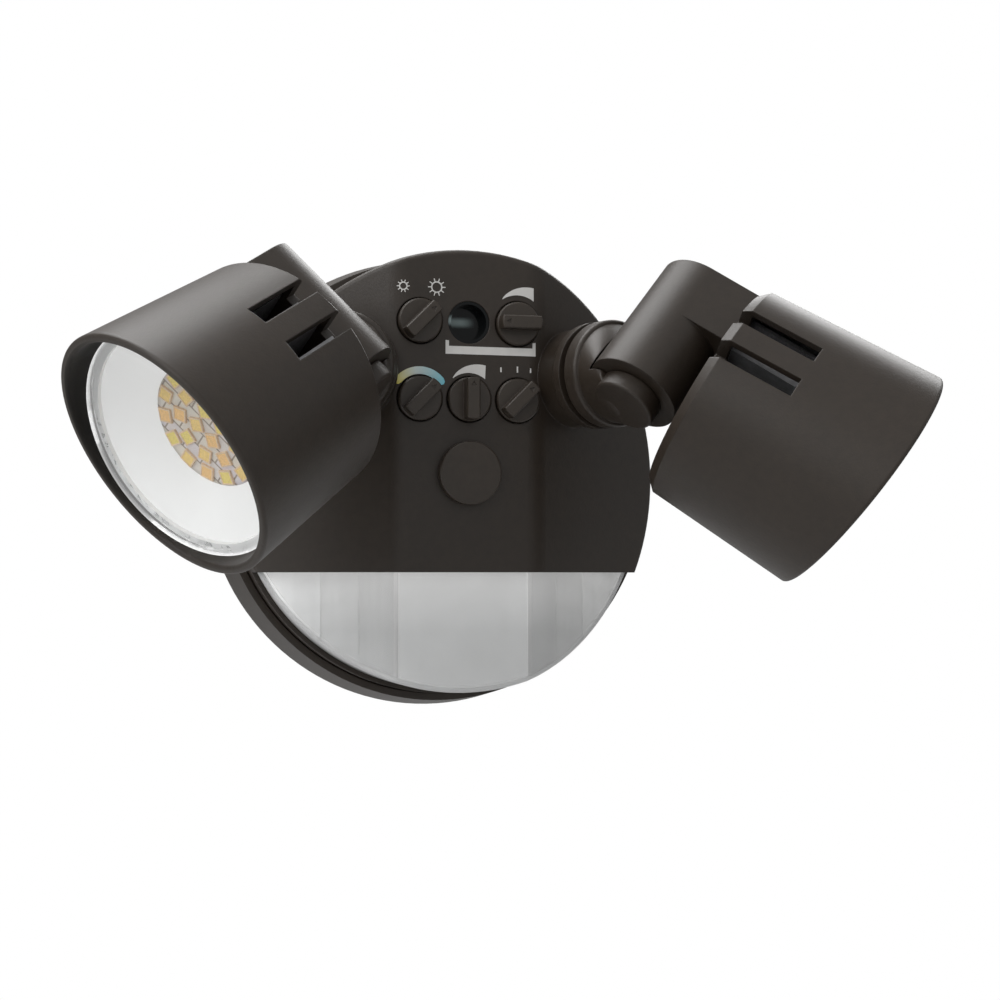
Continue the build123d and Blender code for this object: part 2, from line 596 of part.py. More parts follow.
nodes["rear_housing"] = make_rear_housing()
nodes["wall_gasket"] = make_wall_gasket()
nodes["cover_seal"] = make_cover_seal()
nodes["mounting_bracket"] = make_mounting_bracket()
nodes["ground_screw"] = make_ground_screw()
nodes["centre_screw"] = make_centre_screw()
nodes["screw_plug"] = make_screw_plug()
nodes["front_cover"] = make_front_cover()
nodes["pir_lens"] = make_pir_lens()
nodes["sensor_board"] = make_sensor_board()
nodes["motion_sensor"] = make_motion_sensor()
nodes["sensor_shroud"] = make_sensor_shroud()
nodes["control_board"] = make_control_board()
nodes["board_screws"] = make_board_screws()
nodes["cover_screws"] = make_cover_screws()
nodes["driver_board"] = make_driver_board()
nodes["driver_parts"] = make_driver_parts()
nodes["photocell_window"] = make_photocell_window()
nodes["photocell"] = make_photocell()
for dial_name, (column, row_z, rest_angle) in DIAL_REST.items():
    nodes[dial_name] = make_dial(column, row_z, rest_angle)
pots = [make_pot(x, z) for x, z, _ in dial_places()]
nodes["potentiometers"] = Compound(pots[:-1])
nodes["mode_switch"] = pots[-1]


# ---------------------------------------------------------------- one arm and lamp head
def make_elbow():
    """Elbow: flange and stub on the swivel axis (local z), saddle neck, knuckle and spindle (local y)."""
    flange_back = SOCKET_FACE - BODY_GAP - 0.25
    flange_front = flange_back - FLANGE_THICKNESS
    groove_front = -flange_back + FLANGE_GROOVE_LENGTH
    flange = bar_along(FLANGE_RADIUS, groove_front, -flange_front)
    flange = fillet(flange.edges().filter_by(GeomType.CIRCLE), 1.2)
    flange += bar_along(FLANGE_RADIUS - FLANGE_GROOVE_DEPTH, -flange_back, groove_front + 1)
    stub = bar_along(STUB_RADIUS, -STUB_BACK, -flange_back)
    knuckle_top = -BARREL_BELOW - BODY_GAP
    knuckle_bottom = knuckle_top - KNUCKLE_THICKNESS
    middle = (knuckle_top + knuckle_bottom) / 2
    neck = loft([
        Plane.XY.offset(-flange_front - 0.2) * Circle(NECK_RADIUS),
        Plane.XY.offset(-flange_front + 5) * Pos(0, -3.8) * Ellipse(13.2, 11.4),
        Plane.XY.offset(-3.0) * Pos(0, middle) * Ellipse(KNUCKLE_RADIUS - 0.4, KNUCKLE_THICKNESS / 2),
    ])
    up = Rotation(-90, 0, 0)
    clearance = up * bar_along(BARREL_CLEARANCE, knuckle_top, BARREL_ABOVE)
    knuckle = up * bar_along(KNUCKLE_RADIUS, knuckle_bottom, knuckle_top)
    knuckle = fillet(knuckle.edges().filter_by(GeomType.CIRCLE).sort_by(Axis.Y)[0], 0.8)
    spindle = up * bar_along(SPINDLE_RADIUS, knuckle_top, SPINDLE_ABOVE)
    elbow = flange + stub + (neck - clearance) + knuckle + spindle
    elbow -= bar_along(WIRE_RADIUS, -STUB_BACK - 1, -10.0)
    elbow -= up * bar_along(WIRE_RADIUS, middle, SPINDLE_ABOVE + 1)
    elbow -= bar_between((0, 0, -14.0), (0, middle, -1.0), WIRE_RADIUS * 0.6)
    return elbow


def bar_between(start, end, radius):
    """A round bar between two points."""
    line = Vector(*end) - Vector(*start)
    return Plane(origin=start, z_dir=line).location * extrude(Circle(radius), line.length)


def make_swivel_nut():
    """Hexagon nut that holds the stub behind the socket."""
    back = SOCKET_BACK + BODY_GAP + NUT_THICKNESS
    nut = Pos(0, 0, -back) * extrude(RegularPolygon(NUT_RADIUS, 6), NUT_THICKNESS)
    return nut - bar_along(STUB_RADIUS, -back - 1, -back + NUT_THICKNESS + 1)


def make_socket_seal():
    """Ring in the socket's face, behind the elbow's flange."""
    back = SOCKET_FACE + SEAL_THICKNESS - SEAL_PROUD
    ring = bar_along(SEAL_RADIUS, -back, -back + SEAL_THICKNESS)
    return ring - bar_along(SEAL_RADIUS - 2.4, -back - 1, -SOCKET_FACE + 1)


def make_arm():
    """Barrel on local y and the block that carries the lamp head on local x."""
    up = Rotation(-90, 0, 0)
    barrel = up * bar_along(BARREL_RADIUS, -BARREL_BELOW, BARREL_ABOVE)
    rear = HEAD_OFFSET[0] + HEAD_BACK
    height = BARREL_ABOVE - BLOCK_BOTTOM
    carrier = Pos(rear / 2, BLOCK_BOTTOM + height / 2, 0) * Box(rear, height, 2 * BARREL_RADIUS)
    arm = barrel + carrier
    bore = up * bar_along(SPINDLE_RADIUS + SHAFT_FIT, -BARREL_BELOW - 1, BARREL_ABOVE - BARREL_CAP)
    arm -= bore
    for y, z in arm_screw_places():
        arm -= Pos(rear - 8, y, z) * Rotation(0, 90, 0) * extrude(Circle(1.6), 9)
    arm -= Pos(0, wire_height(), 0) * Rotation(0, 90, 0) * extrude(Circle(HEAD_WIRE_RADIUS), rear + 1)
    arm -= tilt_screw_hole()
    return arm


def wire_height():
    """Height of the wire hole from the barrel's bore into the head, above the spindle's end."""
    return (SPINDLE_ABOVE + BARREL_ABOVE - BARREL_CAP) / 2


def arm_screw_places():
    """Places of the two screws that hold the block to the head, in the arm's frame."""
    middle = (BLOCK_BOTTOM + BARREL_ABOVE) / 2
    return [(middle, sz * ARM_SCREW_SPACING / 2) for sz in (-1, 1)]


def tilt_screw_hole():
    """Hole for the tilt lock screw in the back of the barrel."""
    return Pos(0, 5, 0) * Rotation(0, -90, 0) * bar_along(2.0, SPINDLE_RADIUS - 1, BARREL_RADIUS + 1)


def make_tilt_screw():
    """Headless lock screw that bears near the spindle."""
    start = SPINDLE_RADIUS + BODY_GAP
    screw = bar_along(2.0, start, BARREL_RADIUS - 0.6)
    screw -= Pos(0, 0, BARREL_RADIUS - 2.2) * extrude(RegularPolygon(1.2, 6), 3)
    return Pos(0, 5, 0) * Rotation(0, -90, 0) * screw


def outer_radius(x):
    """Outer radius of the head at a distance from its rear shoulder."""
    return HEAD_REAR_RADIUS + HEAD_TAPER * x


def make_head_shell():
    """Tapered hood with a slanted front, a chamfered back, a ledge for the glass and two slots."""
    reach = HEAD_LENGTH + HOOD_SLOPE * HEAD_REAR_RADIUS + 6
    inside = HEAD_BACK + HEAD_BACK_THICKNESS
    shell = spin([
        (HEAD_BACK, 0), (HEAD_BACK, HEAD_REAR_RADIUS - HEAD_CHAMFER * 0.95), (0, HEAD_REAR_RADIUS),
        (reach, outer_radius(reach)), (reach, outer_radius(reach) - HEAD_WALL),
        (LEDGE_FRONT, outer_radius(LEDGE_FRONT) - HEAD_WALL), (LEDGE_FRONT, LEDGE_RADIUS),
        (LEDGE_FRONT - LEDGE_THICKNESS, LEDGE_RADIUS),
        (LEDGE_FRONT - LEDGE_THICKNESS, outer_radius(LEDGE_FRONT - LEDGE_THICKNESS) - HEAD_WALL),
        (inside, outer_radius(inside) - HEAD_WALL), (inside, 0),
    ])
    cut = Plane(origin=(HEAD_LENGTH, 0, 0), x_dir=(0, 1, 0), z_dir=(1, 0, -HOOD_SLOPE))
    shell = split(shell, bisect_by=cut, keep=Keep.BOTTOM)
    rim = shell.edges().filter_by(lambda e: abs(cut.to_local_coords(e @ 0.5).Z) < 0.01)
    shell = fillet(rim, RIM_FILLET)
    for side in (-1, 1):
        middle = SLOT_SHIFT + side * SLOT_SPACING / 2
        length = SLOT_LENGTH - HEAD_BACK + 1
        slot = Box(length, SLOT_WIDTH, HEAD_REAR_RADIUS, align=(Align.MAX, Align.CENTER, Align.MIN))
        shell -= Pos(SLOT_LENGTH, middle, SLOT_FLOOR) * slot
    for y, z in head_screw_places():
        hole = Rotation(0, 90, 0) * extrude(Circle(1.9), HEAD_BACK_THICKNESS + 2)
        shell -= Pos(HEAD_BACK - 1, y, z) * hole
    wire = Rotation(0, 90, 0) * extrude(Circle(HEAD_WIRE_RADIUS), HEAD_BACK_THICKNESS + 2)
    shell -= Pos(HEAD_BACK - 1, wire_height() - HEAD_OFFSET[1], -HEAD_OFFSET[2]) * wire
    return shell


def head_screw_places():
    """The same screws in the head's frame."""
    return [(y - HEAD_OFFSET[1], z - HEAD_OFFSET[2]) for y, z in arm_screw_places()]


def make_head_screws():
    """Two screws from inside the head into the arm's block."""
    seat = HEAD_BACK + HEAD_BACK_THICKNESS
    end = HEAD_BACK - 7.5
    top = seat + 2.2
    screws = []
    for y, z in head_screw_places():
        screw = spin([(end, 0), (end, 1.6), (seat, 1.6), (seat, 3.2), (top, 3.2), (top, 0)])
        screws.append(Pos(0, y, z) * screw)
    return Compound(screws)


def make_heat_sink():
    """Finned plate that carries the LED board and stands on the back of the head."""
    back = SINK_FRONT - SINK_PLATE_THICKNESS
    inside = HEAD_BACK + HEAD_BACK_THICKNESS
    sink = spin([(back, 0), (back, SINK_RADIUS), (SINK_FRONT, SINK_RADIUS), (SINK_FRONT, 0)])
    core = spin([(inside, 0), (inside, FIN_RADIUS), (back + 0.1, FIN_RADIUS), (back + 0.1, 0)])
    for i in range(FIN_COUNT):
        y = (i - (FIN_COUNT - 1) / 2) * FIN_PITCH
        fin = Pos((inside + back) / 2, y, 0) * Box(back - inside + 0.2, FIN_THICKNESS, 2 * FIN_RADIUS)
        sink += fin & core
    for y, z in head_screw_places():
        sink -= Pos(inside - 1, y, z) * Rotation(0, 90, 0) * extrude(Circle(4.0), 10)
    return sink


def make_led_board():
    """Round white board of the LEDs."""
    edge = LED_BOARD_RADIUS
    return spin([(SINK_FRONT, 0), (SINK_FRONT, edge), (LED_BOARD_FRONT, edge), (LED_BOARD_FRONT, 0)])


def make_led_chips():
    """Square LEDs in rings."""
    chips = []
    for radius, count, start in zip(LED_RING_RADII, LED_RING_COUNTS, LED_RING_TURNS):
        for i in range(count):
            turn = start + 360 / count * i
            chip = Box(LED_HEIGHT, LED_SIDE, LED_SIDE, align=(Align.MIN, Align.CENTER, Align.CENTER))
            chips.append(Rotation(turn, 0, 0) * Pos(LED_BOARD_FRONT, 0, radius) * chip)
    return Compound(chips)


def make_reflector():
    """White cone from the LEDs to the glass."""
    back = LED_BOARD_FRONT + 0.1
    front = LEDGE_FRONT
    lip = LEDGE_RADIUS - 0.2
    return spin([
        (back, REFLECTOR_THROAT_RADIUS), (front, REFLECTOR_MOUTH_RADIUS), (front, lip), (front - 1.0, lip),
        (back, REFLECTOR_THROAT_RADIUS + 1.6 * REFLECTOR_WALL),
    ])


def glass_radius():
    """Radius of the glass, just inside the hood."""
    return outer_radius(LEDGE_FRONT) - HEAD_WALL - GLASS_CLEARANCE


def make_glass_seal():
    """Ring under the glass."""
    inner = REFLECTOR_MOUTH_RADIUS + 0.3
    edge = glass_radius()
    return spin([(LEDGE_FRONT, inner), (LEDGE_FRONT, edge), (GLASS_BACK, edge), (GLASS_BACK, inner)])


def make_head_glass():
    """Clear disc in front of the reflector, with a raised edge."""
    front = GLASS_BACK + GLASS_THICKNESS
    edge = glass_radius()
    return spin([
        (GLASS_BACK, 0), (GLASS_BACK, edge), (front, edge), (front, edge - 1.6),
        (front - 0.5, edge - 2.0), (front - 0.5, 0),
    ])


def place_side(side, swivel, tilt):
    """Build one arm with its head, turned to its resting angles, on the right or mirrored."""
    elbow_place = swivel_base.location * Rotation(0, 0, -swivel)
    arm_place = elbow_place * Rotation(0, tilt - 90, 0)
    head_place = arm_place * Pos(*HEAD_OFFSET)
    pieces = {
        "socket_seal": swivel_base.location * make_socket_seal(),
        "elbow": elbow_place * make_elbow(),
        "swivel_nut": elbow_place * make_swivel_nut(),
        "arm": arm_place * make_arm(),
        "tilt_screw": arm_place * make_tilt_screw(),
        "head_screws": head_place * make_head_screws(),
        "head_shell": head_place * make_head_shell(),
        "heat_sink": head_place * make_heat_sink(),
        "led_board": head_place * make_led_board(),
        "led_chips": head_place * make_led_chips(),
        "reflector": head_place * make_reflector(),
        "glass_seal": head_place * make_glass_seal(),
        "head_glass": head_place * make_head_glass(),
    }
    for name, shape in pieces.items():
        nodes[f"{name}_{side}"] = shape if side == "right" else shape.mirror(Plane.YZ)


for side_name, (swivel_angle, tilt_angle) in ARM_REST.items():
    place_side(side_name, swivel_angle, tilt_angle)

os.makedirs("parts", exist_ok=True)
for name, shape in nodes.items():
    export_step(shape, f"parts/{name}.step")
    print(f"{name:20s} solids {len(shape.solids()):3d}  volume {shape.volume:10.1f}")
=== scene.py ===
# %% [markdown]
# # A motion sensor security light
# A round canopy sits on the wall. Its front cover has a flat pad with setting dials, two sloping
# shoulders that carry jointed arms, and a milky sensor lens at the bottom. Each arm holds a round
# lamp head. The metal pieces come ready made from the CAD model, so this lesson is about finishes,
# about the small pieces that the CAD model leaves plain, and about light.
# We load the fixed frame first, because every later piece is placed by its measurements.

# %% Load the frame
from math import asin, cos, pi, radians, sin, tan

import bpy
import numpy as np
from mathutils import Matrix, Vector


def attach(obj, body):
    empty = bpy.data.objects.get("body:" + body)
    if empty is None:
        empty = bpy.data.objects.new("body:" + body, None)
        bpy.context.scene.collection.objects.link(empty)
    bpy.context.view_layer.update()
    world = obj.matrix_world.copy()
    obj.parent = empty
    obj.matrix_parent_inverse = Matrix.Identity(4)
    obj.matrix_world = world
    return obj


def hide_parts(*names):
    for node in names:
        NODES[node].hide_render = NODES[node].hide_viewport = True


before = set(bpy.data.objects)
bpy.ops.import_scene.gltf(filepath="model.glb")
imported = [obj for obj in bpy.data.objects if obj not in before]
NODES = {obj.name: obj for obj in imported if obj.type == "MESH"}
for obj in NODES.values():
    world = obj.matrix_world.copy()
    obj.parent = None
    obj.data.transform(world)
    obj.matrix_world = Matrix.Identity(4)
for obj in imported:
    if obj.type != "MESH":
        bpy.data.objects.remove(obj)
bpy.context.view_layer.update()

MM = 0.001

# %% [markdown]
# ## The camera
# The picture was taken from the left of the light and a little below its middle. A long lens
# keeps the perspective calm. We could aim the camera with a Track To constraint, but fixed angles
# are easier to compare with a picture, so the place and the two angles, in radians, are written
# down.

# %% Camera
LOOK_UP, LOOK_RIGHT = 0.040, 0.273
camera_data = bpy.data.cameras.new("camera")
camera_data.lens = 68.46
camera_data.sensor_width = 36.0
camera = bpy.data.objects.new("camera", camera_data)
camera.location = (-0.13935, -0.58534, -0.02970)
camera.rotation_euler = (pi / 2 + LOOK_UP, 0.0, -LOOK_RIGHT)
bpy.context.scene.collection.objects.link(camera)
bpy.context.scene.camera = camera
print("camera at", tuple(round(v, 3) for v in camera.location))

# %% [markdown]
# ## Studio light
# Dark satin metal shows its shape only through what it reflects, so the light is as important as
# the paint. A real studio hangs a large soft box above the product and adds weaker ones beside it.
# We do the same with four area lights. The plain Standard view keeps white paper white; a filmic
# view would grey it.


# %% Lights
def soft_box(name, place, target, size, power):
    """A rectangular area light at a place, turned so that its face looks at the target."""
    data = bpy.data.lights.new(name, "AREA")
    data.shape = "RECTANGLE"
    data.size, data.size_y = size
    data.energy = power
    lamp = bpy.data.objects.new(name, data)
    lamp.location = place
    lamp.rotation_euler = (Vector(target) - Vector(place)).to_track_quat("-Z", "Y").to_euler()
    bpy.context.scene.collection.objects.link(lamp)
    return lamp


bpy.context.scene.view_settings.view_transform = "Standard"
soft_box("top_box", (-0.35, 0.25, 1.2), (0.0, -0.06, 0.0), (1.1, 0.9), 15.0)
soft_box("back_right_box", (0.75, 0.9, 0.85), (0.15, -0.06, 0.0), (0.9, 0.6), 9.0)
soft_box("left_box", (-1.2, -0.9, 0.75), (0.0, -0.1, 0.0), (0.8, 0.8), 8.0)
soft_box("low_left_box", (-1.2, -0.15, -0.2), (-0.1, -0.14, 0.0), (0.5, 0.5), 2.0)

# %% [markdown]
# ## Building materials in short steps
# A node material is a small graph. We could write every node and every link by hand, but then the
# links hide the recipe. With these helpers a node is added together with whatever feeds it, be it a
# number or another node's output, and the steps that come back in every finish are one call each.


# %% Node helpers
def feed(node, values):
    """Fill sockets by name or number: with a constant, or with a link from another node's output."""
    for key, value in values.items():
        if isinstance(value, bpy.types.NodeSocket):
            node.id_data.links.new(value, node.inputs[key])
        else:
            node.inputs[key].default_value = value


def add(tree, kind, values=None, **settings):
    """Add a node of a kind, set its properties, then feed its input sockets."""
    node = tree.nodes.new("ShaderNode" + kind)
    for key, value in settings.items():
        setattr(node, key, value)
    feed(node, values or {})
    return node


def calculate(tree, operation, *values):
    """The result of one Math node, fed with numbers or sockets in the order of its inputs."""
    return add(tree, "Math", dict(enumerate(values)), operation=operation).outputs[0]


def product(tree, first, *others):
    """All the values multiplied with each other, one Math node for each value after the first."""
    for other in others:
        first = calculate(tree, "MULTIPLY", first, other)
    return first


def remap(tree, value, from_min, from_max, to_min=0.0, to_max=1.0, kind="LINEAR"):
    """Carry a value from one range over to another; the kind SMOOTHSTEP eases both ends."""
    values = {"Value": value, "From Min": from_min, "From Max": from_max, "To Min": to_min, "To Max": to_max}
    return add(tree, "MapRange", values, interpolation_type=kind).outputs[0]


def noise(tree, where, scale, detail, roughness=0.5):
    """A cloudy value between 0 and 1 by place; the scale counts the clouds on a metre."""
    values = {"Vector": where, "Scale": scale, "Detail": detail, "Roughness": roughness}
    return add(tree, "TexNoise", values).outputs["Fac"]


def mix_colours(tree, share, first, second, kind="MIX"):
    """Two colours mixed by a share; the kind MULTIPLY multiplies the first by the second."""
    values = {"Factor": share, 6: first, 7: second}
    return add(tree, "Mix", values, data_type="RGBA", blend_type=kind).outputs[2]


def ramp(tree, value, stops, kind="LINEAR"):
    """Colours along a value, from rising (position, colour) stops."""
    node = add(tree, "ValToRGB", {"Fac": value})
    node.color_ramp.interpolation = kind
    elements = node.color_ramp.elements
    for number, (position, colour) in enumerate(stops):
        stop = elements[number] if number < 2 else elements.new(position)
        stop.position = position
        stop.color = (*colour, 1.0)
    return node.outputs["Color"]


def object_coordinates(tree):
    """The position on the piece in metres, which doesn't slide when the piece is exported."""
    return add(tree, "TexCoord").outputs["Object"]


print("node helpers:", [step.__name__ for step in (feed, add, calculate, product, remap, noise, ramp)])

# %% [markdown]
# ### Materials and groups
# Every finish here is one Principled shader, so one call makes the material, the shader and its
# output. An effect that several finishes share goes into a node group with named sockets. Some
# finishes show another shader to some kinds of ray; a Mix Shader in front of the output does that.


# %% Material helpers
def shade(name, **values):
    """A material with one Principled shader, whose sockets take the given constant values."""
    material = bpy.data.materials.new(name)
    material.use_nodes = True
    tree = material.node_tree
    tree.nodes.clear()
    shader = add(tree, "BsdfPrincipled", {k.replace("_", " "): v for k, v in values.items()})
    add(tree, "OutputMaterial", {"Surface": shader.outputs[0]})
    return material, tree, shader


def find_node(tree, kind):
    """The first node of a kind in a material."""
    return next(node for node in tree.nodes if node.type == kind)


def show_instead(tree, share, other):
    """Put another shader in place of the Principled one, by a share that may follow the kind of ray."""
    shader = find_node(tree, "BSDF_PRINCIPLED")
    pick = add(tree, "MixShader", {"Fac": share, 1: shader.outputs[0], 2: other.outputs[0]})
    feed(find_node(tree, "OUTPUT_MATERIAL"), {"Surface": pick.outputs[0]})


def group(name, inputs, outputs):
    """A shader node group with named input values and outputs; returns tree, its two ends."""
    tree = bpy.data.node_groups.new(name, "ShaderNodeTree")
    for label, kind, value in inputs:
        socket = tree.interface.new_socket(label, in_out="INPUT", socket_type="NodeSocket" + kind)
        if value is not None:
            socket.default_value = value
    for label, kind in outputs:
        tree.interface.new_socket(label, in_out="OUTPUT", socket_type="NodeSocket" + kind)
    return tree, tree.nodes.new("NodeGroupInput"), tree.nodes.new("NodeGroupOutput")


print("materials before the first finish:", len(bpy.data.materials))

# %% [markdown]
# ## The room around the light
# The camera sees bright paper all round. What the metal mirrors is a softer room: its front faces
# mirror the half where the camera stands, and its grazing edges mirror the half behind the wall. A
# picture of a studio could wrap the world, but two Map Range nodes over the ray's direction are
# plain to steer: the room is brighter in front than behind, and brighter on the left than the right.

# %% World
WHITE = (1.0, 1.0, 1.0, 1.0)
world = bpy.data.worlds.new("studio")
bpy.context.scene.world = world
world.use_nodes = True
sky = world.node_tree
sky.nodes.clear()
heading = add(sky, "SeparateXYZ", {0: add(sky, "TexCoord").outputs["Generated"]}).outputs
front_to_back = remap(sky, heading["Y"], -0.35, 0.5, 0.68, 0.34)
left_to_right = remap(sky, heading["X"], -0.2, 0.8, 1.04, 0.76)
room = add(sky, "Background", {"Color": WHITE, "Strength": product(sky, front_to_back, left_to_right)})
backdrop = add(sky, "Background", {"Color": WHITE, "Strength": 1.0})
seen = add(sky, "LightPath").outputs["Is Camera Ray"]
choose = add(sky, "MixShader", {"Fac": seen, 1: room.outputs[0], 2: backdrop.outputs[0]})
add(sky, "OutputWorld", {"Surface": choose.outputs[0]})
print("world nodes:", len(sky.nodes))

# %% [markdown]
# ### The paper floor
# The light hangs over a sheet of studio paper. To the camera the paper is plain white. The metal
# mirrors it as a mid grey instead, because white paper so close would wash out the dark undersides.

# %% Floor
FLOOR_Z = -0.32
studio_paper, tree, shader = shade("studio_paper", Roughness=0.85)
mottle = noise(tree, object_coordinates(tree), 3.0, 2.0)
feed(shader, {"Base Color": remap(tree, mottle, 0.0, 1.0, 0.44, 0.46)})
seen = add(tree, "LightPath").outputs["Is Camera Ray"]
show_instead(tree, seen, add(tree, "Emission", {"Strength": 1.0}))

floor_mesh = bpy.data.meshes.new("studio_floor")
floor_corners = [(-4, -3, FLOOR_Z), (4, -3, FLOOR_Z), (4, 5, FLOOR_Z), (-4, 5, FLOOR_Z)]
floor_mesh.from_pydata(floor_corners, [], [(0, 1, 2, 3)])
floor_mesh.materials.append(studio_paper)
floor = bpy.data.objects.new("studio_floor", floor_mesh)
bpy.context.scene.collection.objects.link(floor)
print("floor at", FLOOR_Z)

# %% [markdown]
# ## One group for moulded and coated skins
# Powder coat and moulded plastic both have a fine pebbled skin, a slow drift in colour and gloss,
# and small flecks. The pebbles could be a bump image, but a noise pattern in metres stays sharp
# at any zoom and has the same grain on every piece. The group gives out a colour factor, a
# roughness and a height; each material decides what to do with them.

# %% Skin group
skin, skin_in, skin_out = group(
    "fine_skin",
    [("Vector", "Vector", None), ("Grain Size", "Float", 900.0), ("Roughness", "Float", 0.4),
     ("Drift", "Float", 0.05), ("Tone Depth", "Float", 1.0)],
    [("Tone", "Float"), ("Roughness", "Float"), ("Height", "Float")],
)
given = skin_in.outputs
pebbles = noise(skin, given["Vector"], given["Grain Size"], 3.0, 0.55)
broad = noise(skin, given["Vector"], 28.0, 4.0, 0.6)
fleck = noise(skin, given["Vector"], 420.0, 2.0)
fleck_tone = remap(skin, fleck, 0.35, 0.65, 0.94, 1.06)
full_tone = product(skin, remap(skin, broad, 0.3, 0.7, 0.9, 1.1), fleck_tone)
tone_change = calculate(skin, "SUBTRACT", full_tone, 1.0)
gloss_change = calculate(skin, "SUBTRACT", broad, 0.5)
feed(skin_out, {
    "Tone": calculate(skin, "MULTIPLY_ADD", tone_change, given["Tone Depth"], 1.0),
    "Roughness": calculate(skin, "MULTIPLY_ADD", gloss_change, given["Drift"], given["Roughness"]),
    "Height": pebbles,
})
print("group sockets:", [s.name for s in skin.interface.items_tree])

# %% [markdown]
# ## Dark bronze powder coat and its plastic match
# Powder coat is sprayed dry and baked, which leaves a satin orange-peel skin over the casting. The
# dials and the plug are moulded in nearly the same colour, a shade lighter and with a finer grain.
# Both recipes are the skin group with different values, so one function makes them and any plastic
# or rubber too. Its numbers are the roughness, the pebbles on a metre and their height in metres. A
# Bevel node rounds the light on sharp CAD edges, as paint does.


# %% Coated, moulded and rubber finishes
def coated(name, colour, roughness, grain, depth, drift=0.06, round_edge=0.0, tone=1.0, **extra):
    """A skin finish: colour times tone, group roughness, and the height as a fine bump."""
    material, tree, shader = shade(name, **extra)
    values = {"Grain Size": grain, "Roughness": roughness, "Drift": drift, "Tone Depth": tone}
    layer = add(tree, "Group", {"Vector": object_coordinates(tree), **values}, node_tree=skin).outputs
    bump = add(tree, "Bump", {"Strength": 1.0, "Distance": depth, "Height": layer["Height"]})
    if round_edge:
        soft = add(tree, "Bevel", {"Radius": round_edge}, samples=6)
        feed(bump, {"Normal": soft.outputs["Normal"]})
    tinted = mix_colours(tree, 1.0, (*colour, 1.0), layer["Tone"], "MULTIPLY")
    feed(shader, {"Base Color": tinted, "Roughness": layer["Roughness"], "Normal": bump.outputs["Normal"]})
    return material


def bronze_coat(name):
    """The bronze powder coat of all the castings, under a name of its own."""
    return coated(name, (0.0245, 0.0172, 0.0115), 0.46, 1300.0, 0.00004, round_edge=0.0005)


powder_coat = bronze_coat("powder_coat")
bronze_plastic = coated("bronze_plastic", (0.0350, 0.0260, 0.0185), 0.45, 1900.0, 0.00002,
                        round_edge=0.0003)
black_rubber = coated("black_rubber", (0.014, 0.014, 0.014), 0.7, 2400.0, 0.00004)
foam = coated("foam", (0.045, 0.045, 0.047), 0.9, 1500.0, 0.0003)
black_plastic = coated("black_plastic", (0.018, 0.018, 0.019), 0.5, 1600.0, 0.00004)
white_plastic = coated("white_plastic", (0.86, 0.86, 0.85), 0.35, 700.0, 0.00001, drift=0.04, tone=0.3)
# painted light: the seal's faint glow stands in for the light that the glass edge catches in the narrow gap
white_silicone = coated("white_silicone", (0.88, 0.88, 0.875), 0.45, 1400.0, 0.00001, tone=0.2,
                        Emission_Color=WHITE, Emission_Strength=0.08)
# painted light: the reflector's glow stands in for light that bounces many times inside the bowl
bowl_white = coated("bowl_white", (0.62, 0.62, 0.615), 0.3, 700.0, 0.00001, drift=0.04, tone=0.2,
                    Emission_Color=(1.0, 1.0, 0.995, 1.0), Emission_Strength=0.36)
cast_aluminium = coated("cast_aluminium", (0.42, 0.42, 0.43), 0.5, 900.0, 0.00012, Metallic=0.85)
zinc_steel = coated("zinc_steel", (0.55, 0.55, 0.53), 0.33, 500.0, 0.00003, Metallic=1.0)
green_plated = coated("green_plated", (0.04, 0.28, 0.08), 0.3, 600.0, 0.00003, Metallic=0.7)
print("finishes so far:", [m.name for m in bpy.data.materials])

# %% [markdown]
# ## Circuit boards
# A board is glass fibre under green solder mask, with copper tracks that show as paler green lines.
# We could model the tracks, but they are a few hundredths of a millimetre high, so a brick-like
# pattern of lines in the colour and a tiny bump are enough. The boards stand upright, so a Mapping
# node turns the flat brick pattern up.

# %% Board finish
board, tree, shader = shade("board", Roughness=0.35)
upright = add(tree, "Mapping", {"Vector": object_coordinates(tree), "Rotation": (pi / 2, 0.0, 0.0)})
tracks = add(tree, "TexBrick", {
    "Vector": upright.outputs[0], "Scale": 190.0, "Mortar Size": 0.03, "Mortar": (0.05, 0.26, 0.10, 1.0),
    "Color1": (0.010, 0.085, 0.030, 1.0), "Color2": (0.012, 0.105, 0.040, 1.0),
}).outputs
rise = add(tree, "Bump", {"Strength": 0.4, "Distance": 0.00004, "Height": tracks["Fac"]})
feed(shader, {"Base Color": tracks["Color"], "Normal": rise.outputs["Normal"]})
print("board nodes:", len(tree.nodes))

# %% [markdown]
# ## Clear pieces
# Glass bends light, and a renderer finds few of the bent ways to a lamp, so whatever lies behind
# glass comes out too dark. A cheap cure is to show shadow rays and diffuse rays a transparent
# shader instead. The camera still sees real glass.


# %% Light through clear pieces
def let_light_in(tree):
    """Show shadow and diffuse rays a transparent shader, so that light gets inside."""
    ray = add(tree, "LightPath").outputs
    passing = calculate(tree, "MAXIMUM", ray["Is Shadow Ray"], ray["Is Diffuse Ray"])
    show_instead(tree, passing, add(tree, "BsdfTransparent", {"Color": (0.94, 0.95, 0.95, 1.0)}))


print("clear pieces let shadow rays pass")

# %% [markdown]
# ### Glass and lens skin
# The lamp glass is plain clear glass with a faint smear. The sensor lens is a polyethylene-like
# plastic: its outer skin is glossy and nearly clear, and the grooved lens sheet behind it is
# pearly. Two layers of real geometry give that depth better than any single shader could.

# %% Glass and lens finishes
clear_glass, tree, shader = shade(
    "clear_glass", Base_Color=(0.985, 0.985, 0.985, 1.0), IOR=1.25, Transmission_Weight=1.0
)
smear = noise(tree, object_coordinates(tree), 40.0, 5.0, 0.6)
feed(shader, {"Roughness": remap(tree, smear, 0.35, 0.75, 0.015, 0.06)})
let_light_in(tree)

